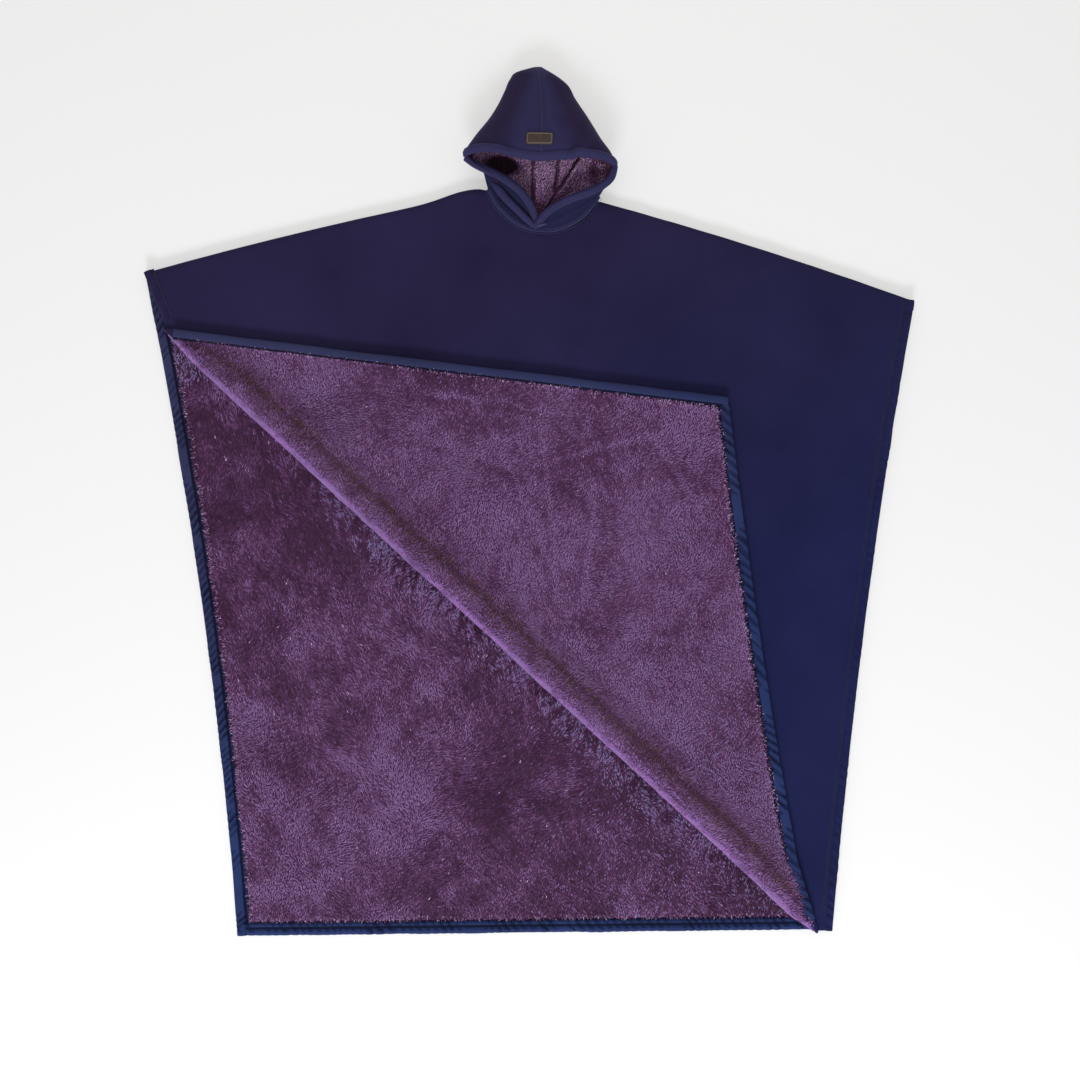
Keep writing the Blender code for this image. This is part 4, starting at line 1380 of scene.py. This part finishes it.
def pleat_shade(x, y):
    """1 down in the pleats of the hood's back, 0 away from them; the pile's tufts are darkened by it as painted
    shade.
    """
    return sum(np.exp(-((x - at + 0.004) / 0.0035) ** 2) * smooth(0.57, 0.60, y) for at, _ in pleats(y))


def on_label(a, b):
    """Plan points of the label, a little turned; a and b run from -0.5 to 0.5 across it and up."""
    return (LABEL_AT[0] + a * LABEL_SIZE[0] + b * 0.0012, LABEL_AT[1] + b * LABEL_SIZE[1] - a * 0.0006)


def make_label(m):
    """The leather label, blank, with its stitching."""
    a, b = np.meshgrid(np.linspace(-0.5, 0.5, 31), np.linspace(-0.5, 0.5, 15), indexing="ij")
    round_off = smooth(0.5, 0.46, np.abs(a)) * smooth(0.5, 0.42, np.abs(b))
    x, y = on_label(a, b)
    top = on_crown(x, y, 0.0014 + 0.0012 * np.sqrt(round_off))
    patch = slab("leather_patch", top, on_crown(x, y, 0.0002), m["leather"])
    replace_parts(patch, "leather_label")
    u, w = 0.5 - 0.0024 / LABEL_SIZE[0], 0.5 - 0.0024 / LABEL_SIZE[1]
    loop = along(np.array([(-u, -w), (u, -w), (u, w), (-u, w), (-u, -w)]), np.linspace(0, 1, 120))
    line = on_crown(*on_label(loop[:, 0], loop[:, 1]), 0.0028)
    sewn = stitches("patch_stitching", line, m["thread_tan"], 0.0036, 0.0028, 0.0008)
    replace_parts(sewn, "label_stitching")
    return [patch, sewn]


# the hood's two front edges, and the neck seam below each, from the outside to the throat
LEFT_EDGE = ((-0.126, 0.681, 0.046), (-0.108, 0.669, 0.045), (-0.0855, 0.659, 0.042), (-0.0556, 0.645, 0.040),
             (-0.0138, 0.6135, 0.037), (0.005, 0.587, 0.034), (0.014, 0.566, 0.031), (0.026, 0.551, 0.028))
RIGHT_EDGE = ((0.170, 0.664, 0.046), (0.163, 0.641, 0.045), (0.1455, 0.626, 0.043), (0.1255, 0.6155, 0.042),
              (0.0777, 0.5976, 0.041), (0.052, 0.585, 0.039), (0.034, 0.572, 0.038), (0.014, 0.548, 0.032))
LEFT_SEAM = ((-0.082, 0.626, 0.0215), (-0.074, 0.610, 0.0215), (-0.064, 0.594, 0.0215), (-0.040, 0.569, 0.0215),
             (-0.018, 0.554, 0.0215), (0.004, 0.546, 0.0215), (0.028, 0.542, 0.0215))
RIGHT_SEAM = ((0.140, 0.612, 0.0215), (0.131, 0.599, 0.0215), (0.115, 0.578, 0.0215), (0.082, 0.555, 0.0215),
              (0.062, 0.547, 0.0215), (0.042, 0.543, 0.0215), (0.012, 0.5435, 0.0215))

COLLAR_FOLD = ((-0.080, 0.641, 0.029), (-0.064, 0.626, 0.0325), (-0.0476, 0.6062, 0.0325), (-0.0228, 0.5814, 0.031),
               (0.0041, 0.5565, 0.0285), (0.017, 0.5485, 0.026))
CROSSING = (0.018, 0.5475, 0.0395), (0.026, 0.5490, 0.0400), (0.034, 0.5515, 0.0395)


def curve_through(points, count):
    """That many points, evenly spaced on a smooth curve through a few."""
    p = np.array(points)
    s = lengths(p)
    return through(np.column_stack([s, p]), np.linspace(0, s[-1], count))


def collar_side(m, side, edge, seam, lift):
    """One front of the hood: the collar down to the neck seam, the rolled edge and its stitches."""
    left = side == "left"
    low = curve_through(seam, 64)
    top = along(curve_through(edge, 64), np.linspace(0.19 if left else 0.16, 1, 64))
    t = np.linspace(0, 1, 22)
    grid = top[:, None] * (1 - t)[None, :, None] + low[:, None] * t[None, :, None]
    s = lengths(top)[:, None] / lengths(top)[-1]
    z = low[:, None, 2] + (top[:, None, 2] - low[:, None, 2] + lift) * (1 - t[None, :]) ** 1.6
    ridge = (-0.004 if left else 0.004) * np.exp(-((t[None, :] - 0.58) / 0.13) ** 2)
    z = z + ridge * np.sin(np.pi * np.clip(s, 0, 1)) ** 0.7
    grid[..., 2] = z + 0.0010 * cloudy(grid[..., 0], grid[..., 1], 0.03, 231) * (1 - t)[None, :]
    if left:
        grid = grid[:, ::-1]
    collar = slab("collar_" + side, grid, grid - np.array([0, 0, 0.0035]), m["collar"])
    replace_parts(collar, f"hood_front_{side}_shell", f"hood_front_{side}_lining")
    rolled = curve_through(edge, 150)
    rolled[:, 2] += lift - 0.0015
    ring = edge_ring(0.0165, 0.0125, 241 if left else 251)
    roll = sweep("front_edge_" + side, rolled, ring, m["hood_edge"])
    inner = lifted(offset(rolled[:, :2], -0.0062 if left else 0.0062), rolled[:, 2] + 0.0048)
    sewn = stitches("front_stitching_" + side, inner[8:-4], m["thread"], 0.0040, 0.0030, 0.0006)
    return [collar, roll, sewn]


def make_collar(m):
    """The hood's two front edges, crossing at the throat, and the collar between them and the neck seam."""
    collar = collar_side(m, "left", LEFT_EDGE, LEFT_SEAM, 0.0)
    collar += collar_side(m, "right", RIGHT_EDGE, RIGHT_SEAM, 0.0035)
    fold = curve_through(COLLAR_FOLD, 90)
    collar.append(sweep("collar_fold_left", fold, edge_ring(0.0150, 0.0105, 271, 0.2), m["hood_edge"]))
    seam = neck_line()
    tape = sweep("neck_welt", lifted(seam, 0.0212), oval(0.0078, 0.0030), m["hood_edge"])
    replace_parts(tape, "neck_seam_tape")
    rows = []
    for k, far in enumerate((-0.0068, -0.0030, 0.0034)):
        line = lifted(offset(seam, far), 0.0214 + (0.0012 if k else 0.0))
        rows.append(stitches(f"neck_stitching_{k}", line, m["thread"], 0.0034, 0.0026, 0.0006))
    tack = sweep("crossover_bar", CROSSING, oval(0.0036, 0.0018), m["thread"])
    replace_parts(tack, "crossover_tack")
    return collar, [tape, tack] + rows


def neck_line():
    """The neck seam in plan, from the left shoulder round the front to the right one."""
    left, right = curve_through(LEFT_SEAM[:-1], 60), curve_through(RIGHT_SEAM[:-1], 60)
    line = np.concatenate([left[:, :2], right[::-1, :2]])
    return along(rounded(along(line, np.linspace(0, 1, 40)), 2), np.linspace(0, 1, 160))


def edge_ring(width, height, seed, taper=0.0):
    """A puckered round section, thinner at both ends of its path."""
    phi = np.linspace(0, 2 * np.pi, 19)[:-1]

    def ring(s):
        share = (s / s[-1])[:, None]
        size = 0.75 + 0.25 * np.sin(np.pi * share ** 0.8) ** 0.6
        size = size + 0.05 * value_noise(s, s * 0, 0.03, seed)[:, None]
        if taper:
            size = size * (1 - 0.8 * smooth(taper, 0, share))
        crease = 0.0008 * (1 - puckers(s[:, None], np.cos(phi)[None, :], 0.013, 0.5, seed + 1))
        side = -np.cos(phi)[None, :] * (width / 2 * size)
        up = np.sin(phi)[None, :] * (height / 2 * size) - crease
        return side, up

    return ring


def hood_pile(m):
    """The pile inside the hood: pink at its back, painted shade in the pleats, a painted shadow in the hollow under
    the brim and in a patch at its right, and painted glints on the lightest tufts.
    """
    shades = [m[key] for key in ("tuft0", "tuft0", "tuft_red", "tuft3", "tuft4", "tuft_pink", "tuft_shadow",
                                 "tuft_glint")]
    p = scattered((-0.125, 0.545), (0.170, 0.715), 0.0023)
    v = (p[:, 1] - HOOD_Y) / HOOD_LONG
    share = (p[:, 0] - HOOD_X) / np.maximum(hood_wide(p[:, 0] - HOOD_X, v) - 0.008, 0.001)
    keep = np.abs(share) < 0.94
    base = hood_back(share[keep], v[keep])
    x, y = base[:, 0], base[:, 1]
    n = len(base)
    lean = nap(x, y, 1.4, 1.0, 261)
    tone = 4.8 + 1.5 * cloudy(x, y, 0.02, 263) + rng.normal(0, 0.8, n) + 26 * (y - 0.625)
    # painted shade down in the pleats
    tone = tone - 4.5 * pleat_shade(x, y)
    # painted shadow: near-black tufts in the hollow under the brim and a dark patch at the right; the darkest tufts
    # take the shadow finish
    hollow = np.exp(-(((x + 0.055) / 0.034) ** 2 + ((y - 0.672) / 0.021) ** 2) ** 2.5)
    tone = tone - 9 * hollow - 5 * np.exp(-(((x - 0.128) / 0.010) ** 2 + ((y - 0.665) / 0.02) ** 2))
    shade = np.clip(np.round(tone), 0, 5)
    shade = np.where(shade == 0, 6, shade)
    # painted glints: pink-white tufts among the lightest
    shade = np.where((tone > 4.6) & (rng.rand(n) < 0.22), 7, shade)
    shade = np.where((tone > 0.5) & (y < 0.60) & (rng.rand(n) < 0.6), 2, shade)
    return sown("hood_pile", base[:, :2], base[:, 2] - 0.0006, lean, (0.0040, 0.0062), (0.0018, 0.0028),
                (0.75, 1.2), shade, shades)


# ---------------------------------------------------------------- the scene

def make_finishes():
    """Every material, by the name used here."""
    navy_dark, navy_light = (0.0115, 0.0095, 0.040), (0.021, 0.0175, 0.064)
    return {
        "shell": fleece("fleece_shell", navy_dark, navy_light),
        "binding": fleece("turned_binding", (0.0105, 0.0125, 0.041), (0.019, 0.0235, 0.068)),
        "plush": plush("plush_lining", (0.050, 0.018, 0.055), (0.085, 0.035, 0.092), (0.13, 0.06, 0.14)),
        "plush_fold": plush("plush_roll", (0.060, 0.024, 0.052), (0.110, 0.050, 0.105), (0.18, 0.09, 0.19)),
        "tuft0": tuft_finish("pile_deep", (0.050, 0.010, 0.042), 0.1),
        "tuft1": tuft_finish("pile_dark", (0.088, 0.021, 0.077), 0.15),
        "tuft2": tuft_finish("pile_plum", (0.130, 0.039, 0.130)),
        "tuft3": tuft_finish("pile_light", (0.190, 0.073, 0.202)),
        "tuft4": tuft_finish("pile_pale", (0.25, 0.125, 0.30)),
        # painted shade: the brown tufts down the roll's far slope
        "tuft_brown_shade": tuft_finish("pile_brown_shade", (0.155, 0.066, 0.082), 0.15),
        # painted highlight: the lilac tufts along the fold's ridge
        "tuft_lilac_highlight": tuft_finish("pile_lilac_highlight", (0.31, 0.145, 0.43), 0.4),
        # the blue-lilac tufts serve as painted highlights near the fold and as a painted bluish light towards the
        # lower right
        "tuft_blue": tuft_finish("pile_blue_lilac", (0.22, 0.145, 0.33), 0.3),
        # painted glints: the pink-white tufts
        "tuft_glint": tuft_finish("pile_pink_white_glint", (0.55, 0.38, 0.60), 0.3),
        "tuft_pink": tuft_finish("pile_pink", (0.43, 0.23, 0.43), 0.3),
        "tuft_shadow": tuft_finish("pile_shadow", (0.006, 0.002, 0.006), 0.0),
        "tuft_red": tuft_finish("pile_red", (0.125, 0.034, 0.075)),
        "plush_hood": plush("plush_hood", (0.040, 0.012, 0.030), (0.075, 0.024, 0.055), (0.12, 0.045, 0.10)),
        "collar": fleece("collar_fleece", (0.008, 0.008, 0.030), (0.017, 0.020, 0.066)),
        "crease": fleece("crease_shade", (0.0035, 0.004, 0.014), (0.007, 0.008, 0.026)),
        # painted highlight: the pale crowns of the bindings' puckers and the turned-back corner's lit edge
        "crown_highlight": fleece("crown_highlight", (0.021, 0.025, 0.073), (0.035, 0.042, 0.112)),
        # painted highlight: the fold's ridge
        "ridge": plush("plush_ridge_highlight", (0.15, 0.070, 0.20), (0.25, 0.130, 0.34), (0.36, 0.20, 0.47)),
        "hood": hood_cloth("hood_fleece"),
        "hood_edge": fleece("hood_edge_fleece", (0.022, 0.021, 0.068), (0.036, 0.036, 0.110)),
        "leather": leather("leather"),
        "thread": thread_finish("seam_thread", (0.045, 0.048, 0.125)),
        "thread_dark": thread_finish("dark_thread", (0.012, 0.012, 0.03)),
        "thread_tan": thread_finish("tan_thread", (0.30, 0.21, 0.13)),
    }


def area_light(name, place, aim, size, power, colour):
    lamp = bpy.data.lights.new(name, "AREA")
    lamp.shape = "RECTANGLE"
    lamp.size, lamp.size_y = size
    lamp.energy = power
    lamp.color = colour
    obj = bpy.data.objects.new(name, lamp)
    obj.location = place
    obj.rotation_euler = (Vector(aim) - Vector(place)).to_track_quat("-Z", "Y").to_euler()
    bpy.context.scene.collection.objects.link(obj)


def studio():
    """The camera above the blanket, a pale floor, a soft world and two area lights."""
    scene = bpy.context.scene
    camera = bpy.data.cameras.new("camera")
    camera.lens, camera.sensor_width = 35.0, 36.0
    holder = bpy.data.objects.new("camera", camera)
    holder.location = (0.022, -0.075, 2.12)
    scene.collection.objects.link(holder)
    scene.camera = holder
    world = bpy.data.worlds.new("world")
    world.use_nodes = True
    background = world.node_tree.nodes["Background"]
    background.inputs["Color"].default_value = (0.97, 0.98, 1.0, 1)
    background.inputs["Strength"].default_value = 0.56
    scene.world = world
    area_light("key", (-0.3, -5.0, 3.0), (0.0, 0.0, 0.0), (2.4, 1.2), 240.0, (0.93, 0.96, 1.0))
    area_light("fill", (0.2, 2.6, 2.4), (0.0, 0.0, 0.0), (2.4, 1.6), 10.0, (1.0, 0.95, 0.9))
    scene.view_settings.view_transform = "Standard"
    square = np.array([[[-9.0, -9], [-9, 9]], [[9, -9], [9, 9]]])
    slab("floor", lifted(square, -0.0004), lifted(square, -0.02), floor_finish())


def floor_finish():
    """A plain pale floor."""
    n = Nodes("floor")
    cloud = n.noise(1.5, 2.0)
    colour = n.ramp(cloud, [(0.3, (0.55, 0.545, 0.54)), (0.7, (0.56, 0.555, 0.55))])
    n.shader.inputs["Emission Color"].default_value = (1.0, 0.99, 0.975, 1)
    n.shader.inputs["Emission Strength"].default_value = 0.42
    return n.finish(colour, 0.9, specular=0.1)


def dress():
    """Builds every piece and says which body it rides on."""
    m = make_finishes()
    made = make_panels(m)
    make_bindings(m, made)
    make_seams(m, made["back"], made["front"])
    roll = make_roll(m)
    roll_pile = make_pile(m, made)
    o = bpy.data.objects
    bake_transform(o["front_fleece"])
    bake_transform(o["front_plush"])
    for name in ("stub_stitching", "side_stitching_0", "side_stitching_1", "shoulder_welt_left",
                 "shoulder_welt_right", "back_fleece", "back_plush", "back_pile", "back_pile_edge",
                 "back_hem_roll", "back_right_roll", "back_left_roll", "front_right_roll", "front_hem_roll",
                 "front_left_roll"):
        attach(o[name], "blanket")
    for name in ("corner_pile", "corner_pile_edge", "flap_hem_roll", "flap_edge_roll"):
        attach(o[name], "front_flap")
    for obj in (roll, roll_pile):
        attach(obj, "blanket")
        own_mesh(obj)
    for body, group in make_hood(m).items():
        for obj in group:
            if body == "both":
                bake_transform(obj)
            else:
                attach(obj, body)


studio()
dress()
